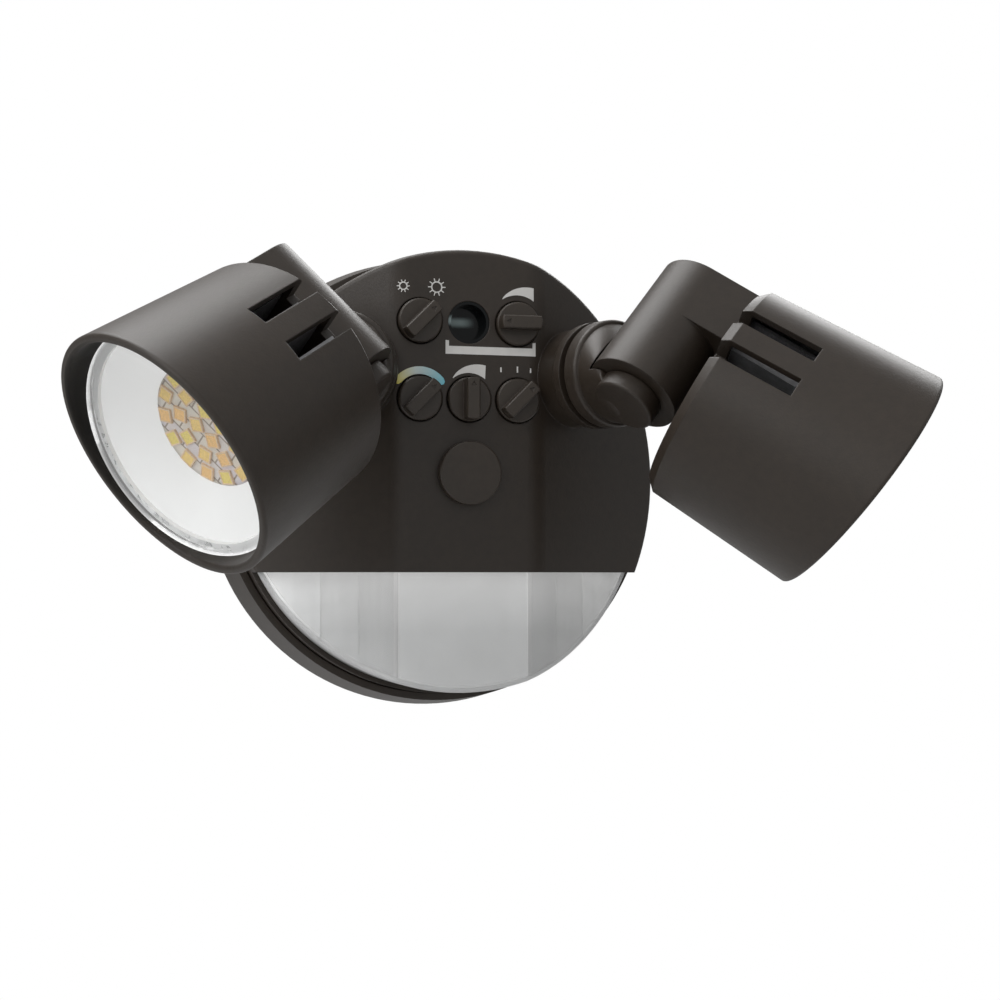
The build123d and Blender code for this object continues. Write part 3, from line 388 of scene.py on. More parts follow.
lens_skin, tree, shader = shade(
    "lens_skin", Base_Color=(0.97, 0.97, 0.97, 1.0), IOR=1.12, Transmission_Weight=0.9
)
haze = noise(tree, object_coordinates(tree), 60.0, 4.0)
feed(shader, {"Roughness": remap(tree, haze, 0.3, 0.7, 0.03, 0.09)})
let_light_in(tree)
print("clear finishes:", clear_glass.name, lens_skin.name)

# %% [markdown]
# ### The photocell's window
# The window over the photocell is smoked plastic, nearly black. One pale blurred band across its
# left part is a painted highlight, a reflection painted into its colour. The highlight is the product
# of two masks: one falls off above and below its height, the other towards the right. A small image
# would do too, but masks need no file.

# %% Window finish
HIGHLIGHT_Z = 0.0443
smoked_window, tree, shader = shade("smoked_window", IOR=1.3)
where = object_coordinates(tree)
place = add(tree, "SeparateXYZ", {0: where}).outputs
# painted highlight: a pale band at this height on the window's left part
off_highlight = calculate(tree, "ABSOLUTE", calculate(tree, "SUBTRACT", place["Z"], HIGHLIGHT_Z))
highlight_height = remap(tree, off_highlight, 0.0002, 0.0019, 1.0, 0.0, "SMOOTHSTEP")
highlight_length = remap(tree, place["X"], -0.0015, 0.0035, 1.0, 0.0, "SMOOTHSTEP")
painted_highlight = product(tree, highlight_height, highlight_length)
film = noise(tree, where, 120.0, 3.0)
feed(shader, {
    "Base Color": mix_colours(tree, painted_highlight, (0.0015, 0.0026, 0.0030, 1.0), (0.24, 0.30, 0.30, 1.0)),
    "Roughness": remap(tree, film, 0.0, 1.0, 0.08, 0.16),
})
print("window nodes:", len(tree.nodes))

# %% [markdown]
# ## Dress the CAD pieces
# Each CAD node keeps its mesh and gets a finish through its object's material slot. A table from
# finish to node names is easier to check than a chain of conditions.


# %% Finishes for the CAD nodes
def dress(material, *names):
    """Give a finish to CAD nodes, and to their right and left copies where the name has them."""
    copies = [name + ending for name in names for ending in ("", "_right", "_left")]
    for piece in (NODES[name] for name in copies if name in NODES):
        if len(piece.material_slots) == 0:
            piece.data.materials.append(material)
        for item in piece.material_slots:
            item.link = "OBJECT"
            item.material = material


dress(powder_coat, "rear_housing", "front_cover", "elbow", "arm", "head_shell")
dress(bronze_plastic, "brightness_dial", "daylight_dial", "color_dial", "motion_dial", "mode_dial",
      "screw_plug")
dress(black_rubber, "cover_seal", "socket_seal")
dress(white_silicone, "glass_seal")
dress(foam, "wall_gasket")
dress(black_plastic, "sensor_shroud", "driver_parts", "potentiometers", "mode_switch")
dress(white_plastic, "photocell")
dress(bowl_white, "reflector")
dress(cast_aluminium, "heat_sink")
dress(zinc_steel, "mounting_bracket", "centre_screw", "board_screws", "cover_screws", "swivel_nut",
      "tilt_screw", "head_screws", "motion_sensor")
dress(green_plated, "ground_screw")
dress(board, "sensor_board", "control_board", "driver_board")
dress(clear_glass, "head_glass")
dress(lens_skin, "pir_lens")
dress(smoked_window, "photocell_window")
bare = [n for n, o in NODES.items() if not any(s.material for s in o.material_slots)]
print("nodes without a finish:", bare)

# %% [markdown]
# ## Surfaces from grids
# Every new piece below is a grid of points worked out with numpy. One helper turns such a grid into
# a mesh. Its faces are quads between neighbouring rows and columns; a closed direction joins the
# last column to the first. Where a piece needs a wall, Solidify gives it one.


# %% Grid helper
def grid_faces(rows, columns, wrap):
    """Quads of a grid: (row, col), (row, col+1), (row+1, col+1), (row+1, col) for every cell."""
    r = np.arange(rows - 1)[:, None]
    c = np.arange(columns if wrap else columns - 1)[None, :]
    following = (c + 1) % columns
    corners = [r * columns + c, r * columns + following, (r + 1) * columns + following, (r + 1) * columns + c]
    return np.stack([np.broadcast_to(k, (rows - 1, c.shape[1])) for k in corners], -1).reshape(-1, 4)


def repeat_faces(one, points, copies):
    """The faces of a small grid for many copies of it, each numbered on from the copy before."""
    return (one[None] + points * np.arange(copies)[:, None, None]).reshape(-1, 4)


def surface(name, points, body, material, faces=None, smooth=True, thickness=0.0):
    """A mesh from a (rows, columns, 3) array of points in metres, or with its own faces, on a body."""
    points = np.asarray(points, dtype=float)
    if faces is None:
        faces = grid_faces(points.shape[0], points.shape[1], False)
    mesh = bpy.data.meshes.new(name)
    mesh.from_pydata(points.reshape(-1, 3).tolist(), [], np.asarray(faces).tolist())
    mesh.polygons.foreach_set("use_smooth", np.full(len(mesh.polygons), smooth))
    mesh.materials.append(material)
    piece = bpy.data.objects.new(name, mesh)
    bpy.context.scene.collection.objects.link(piece)
    if thickness:
        wall = piece.modifiers.new("wall", "SOLIDIFY")
        wall.thickness = thickness
        wall.offset = 0.0
    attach(piece, body)
    return piece


def placed(x, depth, z):
    """Points in metres from millimetres; the depth counts from the wall towards the viewer."""
    return np.stack([x * MM, -depth * MM, z * MM], -1)


print("a grid of 3 by 4 points has", len(grid_faces(3, 4, False)), "faces")

# %% [markdown]
# ## Printed symbols on the pad
# The settings are pad-printed in pale ink: a small and a large sun for brightness, swelling
# crescents for daylight and motion, a warm to cool arc for colour, and a bar that joins the window
# to its dial. An image texture would blur, so each symbol is a thin sheet of ink that lies on
# the pad and follows its rounded edge.

# %% Ink and the pad's shape
PAD_DEPTH, PAD_FLAT, PAD_ROUND = 54.3, 17.75, 12.0
INK_LIFT, INK_THICKNESS = 0.06, 0.04
DIAL_X, UPPER_Z, LOWER_Z = 14.6, 43.8, 21.4


def on_pad(x, z):
    """Points on the pad in metres: flat to 17.75 mm, then the 12 mm rounding, lifted by the ink."""
    past = np.clip(np.abs(x) - PAD_FLAT, 0.0, PAD_ROUND)
    depth = PAD_DEPTH - (PAD_ROUND - np.sqrt(PAD_ROUND**2 - past**2)) + INK_LIFT
    return placed(x, depth, z)


pale_ink = coated("pale_ink", (0.66, 0.65, 0.63), 0.5, 2600.0, 0.00001, tone=0.3)


def sheet_of_ink(name, x, z, material=pale_ink, faces=None):
    """A printed patch from grids of x and z in millimetres."""
    return surface(name, on_pad(x, z), "canopy", material, faces=faces, smooth=False,
                   thickness=INK_THICKNESS * MM)


print("pad depth at x = 20:", round(-on_pad(np.array(20.0), np.array(0.0))[1] / MM, 2))

# %% [markdown]
# ### Crescents
# A crescent is the area between two arcs around the dial. Its outer radius grows along the way, so
# the shape swells. The grid runs along the arc in one direction and from inner to outer edge in
# the other.


# %% Crescents
def crescent(name, centre_x, centre_z, start, inner_end, outer_end, radius, grow):
    """Angles run from start to their ends; the outer radius starts 0.15 mm out and grows by grow."""
    u = np.linspace(0.0, 1.0, 33)[:, None]
    v = np.linspace(0.0, 1.0, 3)[None, :]
    inner_angle = np.radians(start + (inner_end - start) * u)
    outer_angle = np.radians(start + (outer_end - start) * u)
    outer_radius = radius + 0.15 + grow * u**0.9
    x = (1 - v) * radius * np.cos(inner_angle) + v * outer_radius * np.cos(outer_angle)
    z = (1 - v) * radius * np.sin(inner_angle) + v * outer_radius * np.sin(outer_angle)
    return sheet_of_ink(name, centre_x + x, centre_z + z)


crescent("daylight_crescent", DIAL_X, UPPER_Z, start=122.0, inner_end=53.7, outer_end=65.0, radius=8.45,
         grow=3.2)
crescent("motion_crescent", 0.0, LOWER_Z, start=128.0, inner_end=51.2, outer_end=63.4, radius=7.7,
         grow=3.3)

# %% [markdown]
# ### The colour arc
# The arc over the colour dial runs from warm to cool light. Its ends are rounded, so the lines along
# its middle reach a little further. The colour follows the arc, which Object coordinates can't
# do simply, so the sheet gets a UV map whose first value counts along the arc, and a ramp reads it.

# %% Colour arc
ARC_START, ARC_SWEEP, ARC_RADIUS, ARC_HALF_WIDTH, END_ROUND = 140.0, 100.0, 8.1, 1.1, 0.09
arc_ink, tree, shader = shade("arc_ink", Roughness=0.5)
sweep = add(tree, "SeparateXYZ", {0: add(tree, "UVMap", uv_map="along").outputs["UV"]}).outputs["X"]
warm_to_cool = [(0.0, (0.72, 0.62, 0.13)), (0.42, (0.60, 0.68, 0.66)), (1.0, (0.16, 0.50, 0.60))]
feed(shader, {"Base Color": ramp(tree, sweep, warm_to_cool)})

u = np.linspace(0.0, 1.0, 49)[:, None]
v = np.linspace(-1.0, 1.0, 9)[None, :]
bulge = END_ROUND * np.sqrt(np.clip(1 - v**2, 0.0, 1.0))
angle = np.radians(ARC_START - ARC_SWEEP * (u * (1 + 2 * bulge) - bulge))
radius = ARC_RADIUS + ARC_HALF_WIDTH * v
arc_x, arc_z = -DIAL_X + radius * np.cos(angle), LOWER_Z + radius * np.sin(angle)
arc = sheet_of_ink("colour_arc", arc_x, arc_z, arc_ink)
corner_vertex = np.zeros(len(arc.data.loops), dtype=int)
arc.data.loops.foreach_get("vertex_index", corner_vertex)
uv = np.stack(np.broadcast_arrays(u, v), -1).reshape(-1, 2)[corner_vertex]
arc.data.uv_layers.new(name="along").data.foreach_set("uv", uv.ravel())
print("arc faces:", len(arc.data.polygons))

# %% [markdown]
# ### Suns
# A sun is a ring with short rays. The rays are small tapered patches placed round the ring by
# rotating one patch, all in one array. The left sun is the smaller one, for less light.


# %% Suns
def sun(name, x, z, ring, width, ray_end, rays):
    """A ring of a radius and width, and rays from its rim to ray_end, evenly spaced."""
    turn = np.radians(np.linspace(0.0, 360.0, 41))[:, None]
    across = np.array([[-0.5, 0.5]]) * width + ring
    sheet_of_ink(name + "_ring", x + across * np.cos(turn), z + across * np.sin(turn))
    heading = np.radians(360.0 / rays * np.arange(rays))[:, None, None]
    reach = np.linspace(ring + width * 0.5, ray_end, 3)[None, :, None]
    side = np.array([-1.0, 1.0])[None, None, :] * width * 0.5 * (1.15 - 0.4 * reach / ray_end)
    ray_x = reach * np.cos(heading) - side * np.sin(heading)
    ray_z = reach * np.sin(heading) + side * np.cos(heading)
    faces = repeat_faces(grid_faces(3, 2, False), 3 * 2, rays)
    sheet_of_ink(name + "_rays", x + ray_x, z + ray_z, faces=faces)


sun("small_sun", -19.5, 53.7, ring=1.05, width=0.34, ray_end=1.85, rays=10)
sun("large_sun", -9.64, 53.7, ring=1.5, width=0.36, ray_end=2.6, rays=10)

# %% [markdown]
# ### The joining bar and the ticks
# The bar lies under the window and the dial beside it, and its two ends are turned up. Its upper
# edge is a line through six stops; the long stretch has extra rows of points, so that it bends with
# the pad's rounding. Three short ticks stand over the mode dial.

# %% Bar and ticks
BAR_LOW = 34.5
bar_stops = np.arange(6)
bar_x = np.array([-7.0, -6.0, -6.0, 19.2, 19.2, 20.2])
bar_high = np.array([38.5, 38.4, 36.8, 36.8, 38.4, 38.5])
steps = np.concatenate([[0.0, 1.0], np.linspace(2.0, 3.0, 27), [4.0, 5.0]])
share = np.linspace(0.0, 1.0, 3)[None, :]
x = np.broadcast_to(np.interp(steps, bar_stops, bar_x)[:, None], (len(steps), share.size))
high = np.interp(steps, bar_stops, bar_high)[:, None]
sheet_of_ink("joining_bar", x, BAR_LOW + (high - BAR_LOW) * share)

TICK_HALF_WIDTH, TICK_FOOT = 0.22, 29.6
for number, (tick_x, length) in enumerate(((9.6, 1.4), (DIAL_X, 1.8), (18.6, 1.4))):
    x = tick_x + TICK_HALF_WIDTH * np.array([[-1.0, 1.0], [-1.0, 1.0]])
    z = TICK_FOOT + length * np.array([[0.0, 0.0], [1.0, 1.0]])
    sheet_of_ink(f"mode_tick_{number}", x, z)

# %% [markdown]
# ## The grooved lens sheet
# Behind the lens's smooth skin lies a sheet moulded into tall panels. Each panel bends heat from one
# direction onto the sensor, which is why the window looks like cut crystal at its sides. The sheet
# is a grid across the light and down it. Its depth follows the cover's pad and slopes; every panel
# but the middle one leans a little, so it ends in a step, and the outer panels also swell gently
# down the light.

# %% Lens panels
LENS_TOP, LENS_BACK, SLOPE, CORNER = -23.2, 6.2, tan(radians(29.4)), 19.8
PANEL_EDGES = np.array([0.0, 13.0, 19.3, 29.8, 40.0, 60.0])
PANEL_FALL = np.array([0.0, 0.15, 0.3, 0.3, 0.4])
FIRST_SWELLING, ROW_TOP, ROW_LEAN, ROW_LENGTH, ROW_SWELL = 3, -30.0, 0.35, 8.5, 0.3
WALL_RADIUS, WALL_ROUND, WALL_BACK, REACH = 63.5, 1.3, 12.0, 57.4
SHEET_RADIUS = WALL_RADIUS - WALL_ROUND


def lens_depth(x, z):
    """Pad depth less the inset, down the slope past the corner, less each panel's fall across it."""
    away = np.abs(x)
    base = PAD_DEPTH - LENS_BACK - np.clip(away - CORNER, 0.0, None) * SLOPE
    panel = np.clip(np.searchsorted(PANEL_EDGES, away, side="right") - 1, 0, len(PANEL_FALL) - 1)
    share = (away - PANEL_EDGES[panel]) / np.diff(PANEL_EDGES)[panel]
    row = ((z - ROW_TOP + ROW_LEAN * away) / ROW_LENGTH) % 1.0
    swell = np.where(panel >= FIRST_SWELLING, ROW_SWELL * np.sin(pi * row) ** 2, 0.0)
    return base - PANEL_FALL[panel] * share - swell


def lens_rim(x):
    """How far down the sheet reaches at x: a circle just inside the lens's round wall."""
    return -np.sqrt(np.clip(SHEET_RADIUS**2 - x**2, 0.0, None))


print("depths at the panel edges:", np.round(lens_depth(PANEL_EDGES[:5] + 0.01, np.full(5, -31.0)), 1))

# %% [markdown]
# ### The pearl tone of the panels
# The sheet is moulded in milky plastic of one colour, but each panel passes a different amount of
# light, and each catches the studio light differently, so it looks like stripes of grey; the stripes
# are partly painted shade. We read the distance from the middle in Object coordinates, step through
# the stripes with a constant ramp, and paint light and shade onto them: darker towards the rim and
# the right, lighter towards the top and the left.
# Light that gets in under the visor makes the top glow; a little emission stands in for it.

# %% Pearl finish
STRIPE_TONES = (0.86, 0.88, 0.56, 0.60, 0.74)
pearl, tree, shader = shade("pearl", Roughness=0.3, Emission_Strength=0.9)
where = object_coordinates(tree)
place = add(tree, "SeparateXYZ", {0: where}).outputs
from_middle = calculate(tree, "ABSOLUTE", place["X"])
# partly painted shade: besides the panels' own translucency, the tones stand in for the light each panel
# catches
stops = [(edge / PANEL_EDGES[-1], (grey,) * 3) for edge, grey in zip(PANEL_EDGES, STRIPE_TONES)]
stripes = ramp(tree, remap(tree, from_middle, 0.0, PANEL_EDGES[-1] * MM), stops, "CONSTANT")
tall = add(tree, "Mapping", {"Vector": where, "Scale": (1.0, 1.0, 0.09)}).outputs[0]
streaks = remap(tree, noise(tree, tall, 170.0, 2.0), 0.3, 0.7, -0.09, 0.06)
outer_only = remap(tree, from_middle, 0.018, 0.021)
tone = product(
    tree,
    # painted light and shade: lighter towards the top under the visor, darker towards the round rim
    remap(tree, place["Z"], -0.060, -0.028, 0.80, 1.0),
    # painted light and shade: lighter on the left, where the light comes from, darker on the right
    remap(tree, place["X"], -0.05, 0.05, 1.1, 0.84),
    calculate(tree, "MULTIPLY_ADD", streaks, outer_only, 1.0),
    remap(tree, noise(tree, where, 110.0, 3.0), 0.3, 0.7, 0.96, 1.03),
)
top_glow = product(tree, tone, remap(tree, place["Z"], -0.046, -0.027, 0.25, 1.0))
feed(shader, {
    "Base Color": mix_colours(tree, 1.0, stripes, tone, "MULTIPLY"),
    "Emission Color": mix_colours(tree, 1.0, (0.36, 0.355, 0.35, 1.0), top_glow, "MULTIPLY"),
})
print("stripes:", [(round(float(position), 2), colour[0]) for position, colour in stops])

# %% [markdown]
# ### The sheet itself
# The visor covers the sheet's top, and its bottom edge is round like the canopy. Each column of the
# grid is stretched between the two, so no part of the grid has to be cut away. At every panel edge
# two extra columns stand close together, which keeps the step sharp. Solidify gives the sheet a
# wall. Flat shading keeps the steps crisp, where smooth shading would blur them.

# %% Lens sheet
COLUMNS, ROWS, HALF_STEP, SHEET_THICKNESS = 405, 91, 0.004, 0.5
edges = (PANEL_EDGES[1:5, None] + HALF_STEP * np.array([-1.0, 1.0])).ravel()
across = np.sort(np.concatenate([np.linspace(-REACH, REACH, COLUMNS), edges, -edges]))
down = np.linspace(0.0, 1.0, ROWS)[:, None]
x = np.broadcast_to(across[None, :], (ROWS, len(across)))
z = LENS_TOP + (lens_rim(x) - LENS_TOP) * down
depth = lens_depth(x, z)
surface("lens_sheet", placed(x, depth, z)[:, ::-1], "canopy", pearl, smooth=False,
        thickness=SHEET_THICKNESS * MM)
print("lens sheet depth range:", round(float(depth.min()), 1), round(float(depth.max()), 1))

# %% [markdown]
# ### The side of the lens
# The milky plastic turns the corner in a soft round and runs back into the canopy. Light reaches
# only its first centimetre, so it fades from pearl to nearly black. A gradient on Object coordinates
# can't follow the slanting edge, so an attribute holds the way gone from it, and the material fades
# by that attribute.

# %% Lens wall finish
lens_wall, tree, shader = shade("lens_wall", Roughness=0.4)
way_back = add(tree, "Attribute", attribute_name="back").outputs["Fac"]
uneven = calculate(tree, "MULTIPLY_ADD", noise(tree, object_coordinates(tree), 90.0, 4.0), 0.25, -0.12)
faded = calculate(tree, "ADD", uneven, way_back)
feed(shader, {"Base Color": remap(tree, faded, 0.0, 1.0, 0.68, 0.02)})
print("lens wall nodes:", len(tree.nodes))

# %% [markdown]
# The strip follows the sheet's edge: each row of its grid goes round the bend, then straight back.
# It could be a drawn profile swept along a curve, but as the edge steps in and out at every panel,
# it is simpler to ask the sheet's own depth formula where each row starts.

# %% Lens side wall
WALL_INSET, WALL_THICKNESS, BEND_COLUMNS, FADE_ON_BEND, FADE_LENGTH = 0.1, 0.4, 13, 0.3, 15.0
turn = np.linspace(1.0, -1.0, 181)[:, None] * asin(REACH / SHEET_RADIUS)
bend = np.radians(np.linspace(0.0, 90.0, BEND_COLUMNS))[None, :]
share = np.linspace(0.0, 1.0, 19)[None, 1:]
around = SHEET_RADIUS + WALL_ROUND * np.concatenate([np.sin(bend), np.ones_like(share)], 1)
x, z = around * np.sin(turn), -around * np.cos(turn)
front = lens_depth(x, z)[:, :BEND_COLUMNS] - WALL_INSET
rounded = front - WALL_ROUND * (1 - np.cos(bend))
behind_bend = rounded[:, -1:]
straight = behind_bend + (WALL_BACK - behind_bend) * share
depth = np.concatenate([rounded, straight], 1)
side_wall = surface("lens_side_wall", placed(x, depth, z), "canopy", lens_wall,
                    thickness=WALL_THICKNESS * MM)
fade_bend = np.broadcast_to(FADE_ON_BEND * np.sin(bend), rounded.shape)
gone = np.concatenate([fade_bend, FADE_ON_BEND + (behind_bend - straight) / FADE_LENGTH], 1)
side_wall.data.attributes.new("back", "FLOAT", "POINT").data.foreach_set("value", gone.ravel())
print("side wall faces:", len(side_wall.data.polygons))

# %% [markdown]
# ## Where a lamp head is
# Each head was turned twice in the CAD model: the elbow swivels in its socket and the arm tilts on
# the elbow. Small pieces inside the head are easiest to design in the head's own directions: along
# its axis, up the barrel, and out sideways. Two functions turn such points into places. The left
# head is worked out as a right one and then mirrored.

# %% Head directions
PIVOT = np.array([45.9, -81.3, 28.9])
HEAD_OFFSET = np.array([19.0, 2.8, 1.0])
ARM_REST = {"right": (41.5, 52.3), "left": (44.8, 43.9)}
SHOULDER_LEAN = radians(19.3)
MIRROR = np.array([-1.0, 1.0, 1.0])


def head_directions(side):
    """Three unit rows: along the head, up the barrel and out, from the swivel and tilt angles."""
    swivel, tilt = np.radians(ARM_REST[side])
    swivel_axis = np.array([sin(SHOULDER_LEAN), -cos(SHOULDER_LEAN), 0.0])
    level = np.array([cos(SHOULDER_LEAN), sin(SHOULDER_LEAN), 0.0])
    up = cos(swivel) * np.array([0.0, 0.0, 1.0]) + sin(swivel) * level
    along = cos(tilt) * swivel_axis + sin(tilt) * np.cross(up, swivel_axis)
    return np.stack([along, up, np.cross(along, up)])


def head_points(side, local):
    """Places in metres of (along, up, out) points in millimetres; the left head is a mirror image."""
    place = PIVOT + (HEAD_OFFSET + local) @ head_directions(side)
    if side == "left":
        place = place * MIRROR
    return place * MM


for side in ("right", "left"):
    print(side, "head axis", np.round(head_directions(side)[0], 3))
    print(side, "shoulder", head_points(side, np.zeros(3)))

# %% [markdown]
# ### The head's own coordinates in a material
# A material that is to follow the head's shape needs the same directions. A Mapping node set to
# Texture undoes a place and a turn, so it changes Object coordinates into the head's own. The
# distance from the head's axis is the length of the last two, up and out, taken together.


# %% Head coordinates
def head_coordinates(tree, side):
    """Sockets in metres from the shoulder: along, up, (up, out) as a vector, and its length."""
    rows = head_directions(side)
    if side == "left":
        rows = rows * MIRROR
        rows[2] = -rows[2]  # three mirrored directions are left-handed, and a turn needs a right-handed set
    own = add(tree, "Mapping", {
        "Vector": object_coordinates(tree),
        "Location": tuple(head_points(side, np.zeros(3))),
        "Rotation": tuple(Matrix(rows.T.tolist()).to_euler()),
    }, vector_type="TEXTURE").outputs[0]
    along, up, out = add(tree, "SeparateXYZ", {0: own}).outputs
    flat = add(tree, "CombineXYZ", {"X": up, "Y": out}).outputs[0]
    radius = add(tree, "VectorMath", {0: flat}, operation="LENGTH").outputs["Value"]
    return along, up, flat, radius


print("left head axis:", np.round(head_directions("left")[0] * MIRROR, 3))

# %% [markdown]
# ## The hood's painted shade inside
# Little light falls inside the hood, so from its rim inwards the coat is painted darker, nearly
# black, as painted shade, and it turns flat. The shell is one CAD piece, so a second material would
# need its faces sorted. A mask is simpler: the distance from the head's axis, less the hood's
# taper, tells the inner wall from the outer skin. The rear and the slanted front keep the coat.

# %% Shell finish
HOOD_TAPER, FRONT_SLANT = 0.0546, 0.22


def shell_finish(side):
    """The powder coat with painted shade: darker and duller where the radius less the taper is under the
    wall's middle.
    """
    material = bronze_coat("shell_coat_" + side)
    tree = material.node_tree
    shader = find_node(tree, "BSDF_PRINCIPLED")
    coat_colour = shader.inputs["Base Color"].links[0].from_socket
    coat_rough = shader.inputs["Roughness"].links[0].from_socket
    along, up, _, radius = head_coordinates(tree, side)
    straightened = calculate(tree, "MULTIPLY_ADD", along, -HOOD_TAPER, radius)
    outside = remap(tree, straightened, 0.0304, 0.0309, kind="SMOOTHSTEP")
    rear = remap(tree, along, 0.034, 0.030, kind="SMOOTHSTEP")
    slanted = calculate(tree, "MULTIPLY_ADD", up, -FRONT_SLANT, along)
    front = remap(tree, slanted, 0.0356, 0.0476, 0.0, 0.95)
    lit = calculate(tree, "MAXIMUM", outside, calculate(tree, "MAXIMUM", rear, front))
    # painted shade: inside the hood the coat's colour drops to a quarter
    painted_shade_tone = remap(tree, lit, 0.0, 1.0, 0.25, 1.0)
    feed(shader, {
        "Base Color": mix_colours(tree, 1.0, coat_colour, painted_shade_tone, "MULTIPLY"),
        "Roughness": add(tree, "Mix", {"Factor": lit, 2: 0.85, 3: coat_rough}, data_type="FLOAT").outputs[0],
    })
    return material


for side in ("right", "left"):
    dress(shell_finish(side), "head_shell_" + side)
print("shell finishes:", [m.name for m in bpy.data.materials if "shell" in m.name])

# %% [markdown]
# ## The glass's ground rim
# The edge of the lamp glass is ground, catches light from all sides and shows as a thin bright
# ring. A bevelled edge with a rough material would need very many samples, so the rim is given a
# faint glow by the same distance from the head's axis.


# %% Glass with a bright rim
def glass_finish(side):
    """The clear glass with a faint glow from 30.6 mm off the head's axis outwards."""
    material = clear_glass.copy()
    material.name = "glass_" + side
    tree = material.node_tree
    radius = head_coordinates(tree, side)[-1]
    glow = remap(tree, radius, 0.0306, 0.0314)
    feed(find_node(tree, "BSDF_PRINCIPLED"), {"Emission Strength": 0.2, "Emission Color": glow})
    return material


for side in ("right", "left"):
    dress(glass_finish(side), "head_glass_" + side)
print("glass finishes:", [m.name for m in bpy.data.materials if "glass" in m.name])

# %% [markdown]
# ## LED board
# The board is white enamel on aluminium. Between the chips run thin darker tracks, and where the
# reflector's throat meets it a soft shadow line shows. The tracks are a brick pattern in the head's
# two sideways directions, and the shadow follows the distance from its axis.


# %% LED board finish
def led_board_finish(side):
    """White enamel; brick joints for the tracks; darker by the distance from the axis."""
    material, tree, shader = shade("led_board_" + side, Roughness=0.32)
    _, _, flat, radius = head_coordinates(tree, side)
    tracks = add(tree, "TexBrick", {
        "Vector": flat, "Scale": 95.0, "Mortar Size": 0.025, "Mortar Smooth": 0.3,
        "Brick Width": 0.62, "Row Height": 0.41, "Mortar": (0.40, 0.33, 0.27, 1.0),
        "Color1": (0.82, 0.76, 0.66, 1.0), "Color2": (0.78, 0.72, 0.76, 1.0),
    }).outputs
    ring = remap(tree, radius, 0.0155, 0.0180, 1.0, 0.55)
    step = add(tree, "Bump", {"Strength": 0.5, "Distance": 0.00008, "Height": tracks["Fac"]}, invert=True)
    feed(shader, {
        "Base Color": mix_colours(tree, 1.0, tracks["Color"], ring, "MULTIPLY"),
        "Normal": step.outputs["Normal"],
    })
    return material


for side in ("right", "left"):
    dress(led_board_finish(side), "led_board_" + side)
print("board finishes:", [m.name for m in bpy.data.materials if "led_board" in m.name])

# %% [markdown]
# ## LED chips
# The CAD model has one plain block for each LED. A real chip is a pale moulded cup with a pad of
# yellow phosphor, and light scatters through the phosphor so its rim looks peach. We draw the chip
# once, as a square loop that is carried up its wall, over its rim and down to the pad, and place
# all of them with one array of angles and radii.

# %% Chip shape
RING_RADII = np.array([4.1, 9.3, 14.4])
RING_COUNTS = np.array([4, 9, 14])
RING_TURNS = np.array([45.0, 0.0, 0.0])
BOARD_FRONT = 28.2
CHIP_HALVES = np.array([0.0, 1.95, 1.95, 1.88, 1.62, 1.56, 0.0])[:, None]
CHIP_HEIGHTS = np.array([0.0, 0.0, 0.62, 0.7, 0.7, 0.58, 0.6])[:, None]


def chip_layout():
    """Angle and radius of every chip: each ring starts at its turn and shares out the full circle."""
    within = np.arange(RING_COUNTS.sum()) - np.repeat(np.cumsum(RING_COUNTS) - RING_COUNTS, RING_COUNTS)
    angle = np.repeat(RING_TURNS, RING_COUNTS) + within * np.repeat(360.0 / RING_COUNTS, RING_COUNTS)
    return np.radians(angle), np.repeat(RING_RADII, RING_COUNTS)


def chip_grid():
    """Square corners times each loop's half width, moved out by the radius, turned by the angle."""
    angle, radius = (value[:, None, None] for value in chip_layout())
    loop = CHIP_HALVES * np.array([-1.0, 1.0, 1.0, -1.0])
    out = CHIP_HALVES * np.array([-1.0, -1.0, 1.0, 1.0]) + radius
    along = np.broadcast_to(BOARD_FRONT + CHIP_HEIGHTS, out.shape)
    up = loop * np.cos(angle) - out * np.sin(angle)
    sideways = loop * np.sin(angle) + out * np.cos(angle)
    return np.stack([along, up, sideways], -1)


print("chips:", RING_COUNTS.sum(), "grid", chip_grid().shape)

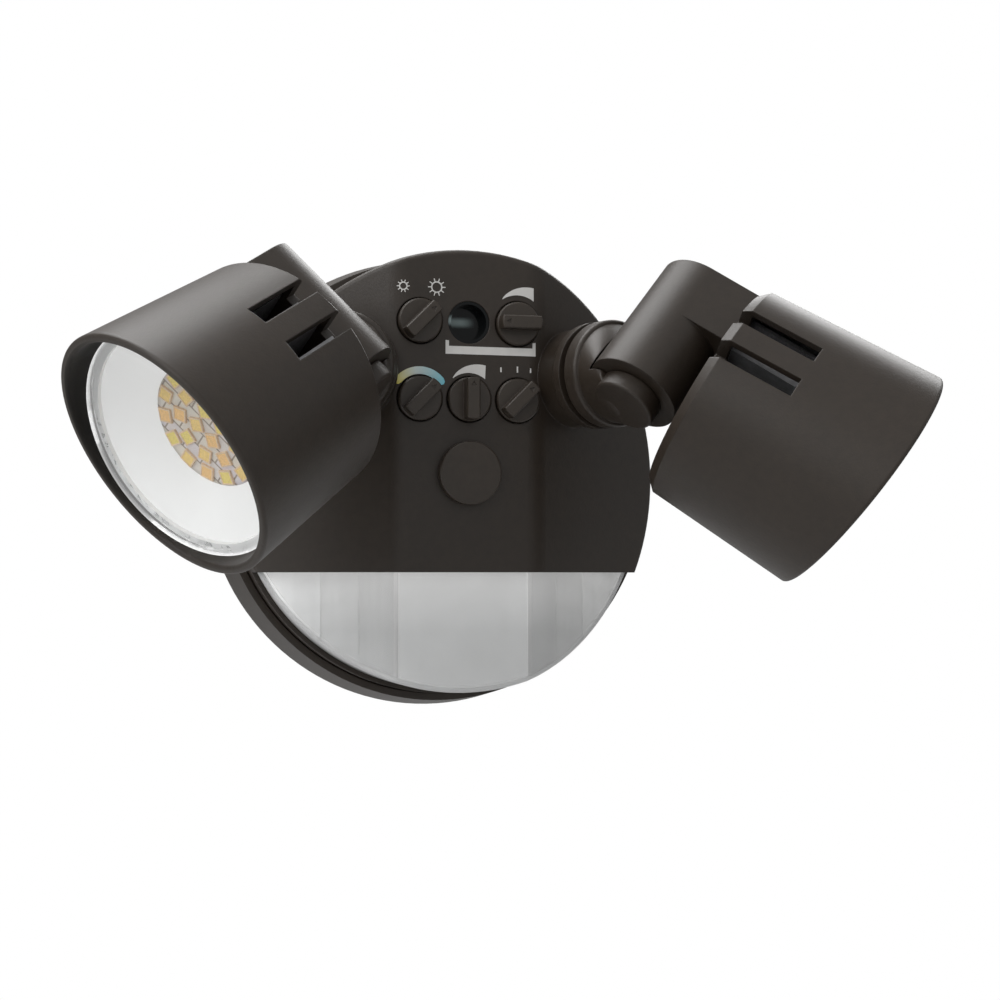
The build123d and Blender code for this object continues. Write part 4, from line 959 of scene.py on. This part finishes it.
# %% [markdown]
# ### Phosphor
# The pad is a gel full of yellow powder. Warm chips hold more orange powder than cool ones. Two
# materials would do, but one is enough: it mixes the two colours by the "warm" attribute and shows
# the cup where "phosphor" is 0.

# %% Phosphor finish
phosphor, tree, shader = shade("phosphor", Roughness=0.38)
warm = add(tree, "Attribute", attribute_name="warm").outputs["Fac"]
gel = add(tree, "Attribute", attribute_name="phosphor").outputs["Fac"]
powder = noise(tree, object_coordinates(tree), 2200.0, 2.0)
gel_colour = mix_colours(tree, warm, (0.95, 0.77, 0.24, 1.0), (1.0, 0.64, 0.28, 1.0))
cup_or_gel = mix_colours(tree, gel, (0.88, 0.66, 0.46, 1.0), gel_colour)
powder_tone = remap(tree, powder, 0.3, 0.7, 0.88, 1.08)
lumps = add(tree, "Bump", {"Strength": 0.5, "Distance": 0.00003, "Height": powder})
feed(shader, {
    "Base Color": mix_colours(tree, 1.0, cup_or_gel, powder_tone, "MULTIPLY"),
    "Normal": lumps.outputs["Normal"],
})
print("phosphor nodes:", len(tree.nodes))

# %% [markdown]
# ### All the chips of a head
# One mesh holds all the chips of a head and stands in for the CAD node's plain blocks. The left
# head is a mirror image, which turns faces inside out, so there the corners of each face are
# taken the other way round. The last ring of faces in a chip is its gel.

# %% LED pads
for side in ("right", "left"):
    grid = chip_grid()
    chips, loops = grid.shape[:2]
    one = grid_faces(loops, 4, True)
    one = one if side == "right" else one[:, ::-1]
    faces = repeat_faces(one, 4 * loops, chips)
    points = head_points(side, grid.reshape(-1, 3))
    piece = surface("led_pads_" + side, points, "lamp_" + side, phosphor, faces=faces, smooth=False)
    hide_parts("led_chips_" + side)
    is_gel = np.tile(np.repeat(np.arange(loops - 1) == loops - 2, 4), chips).astype(float)
    is_warm = np.repeat((np.arange(chips) * 5 % 3) / 2.0, len(one))
    for label, values in (("phosphor", is_gel), ("warm", is_warm)):
        piece.data.attributes.new(label, "FLOAT", "FACE").data.foreach_set("value", values)
    print(piece.name, "faces", len(piece.data.polygons))
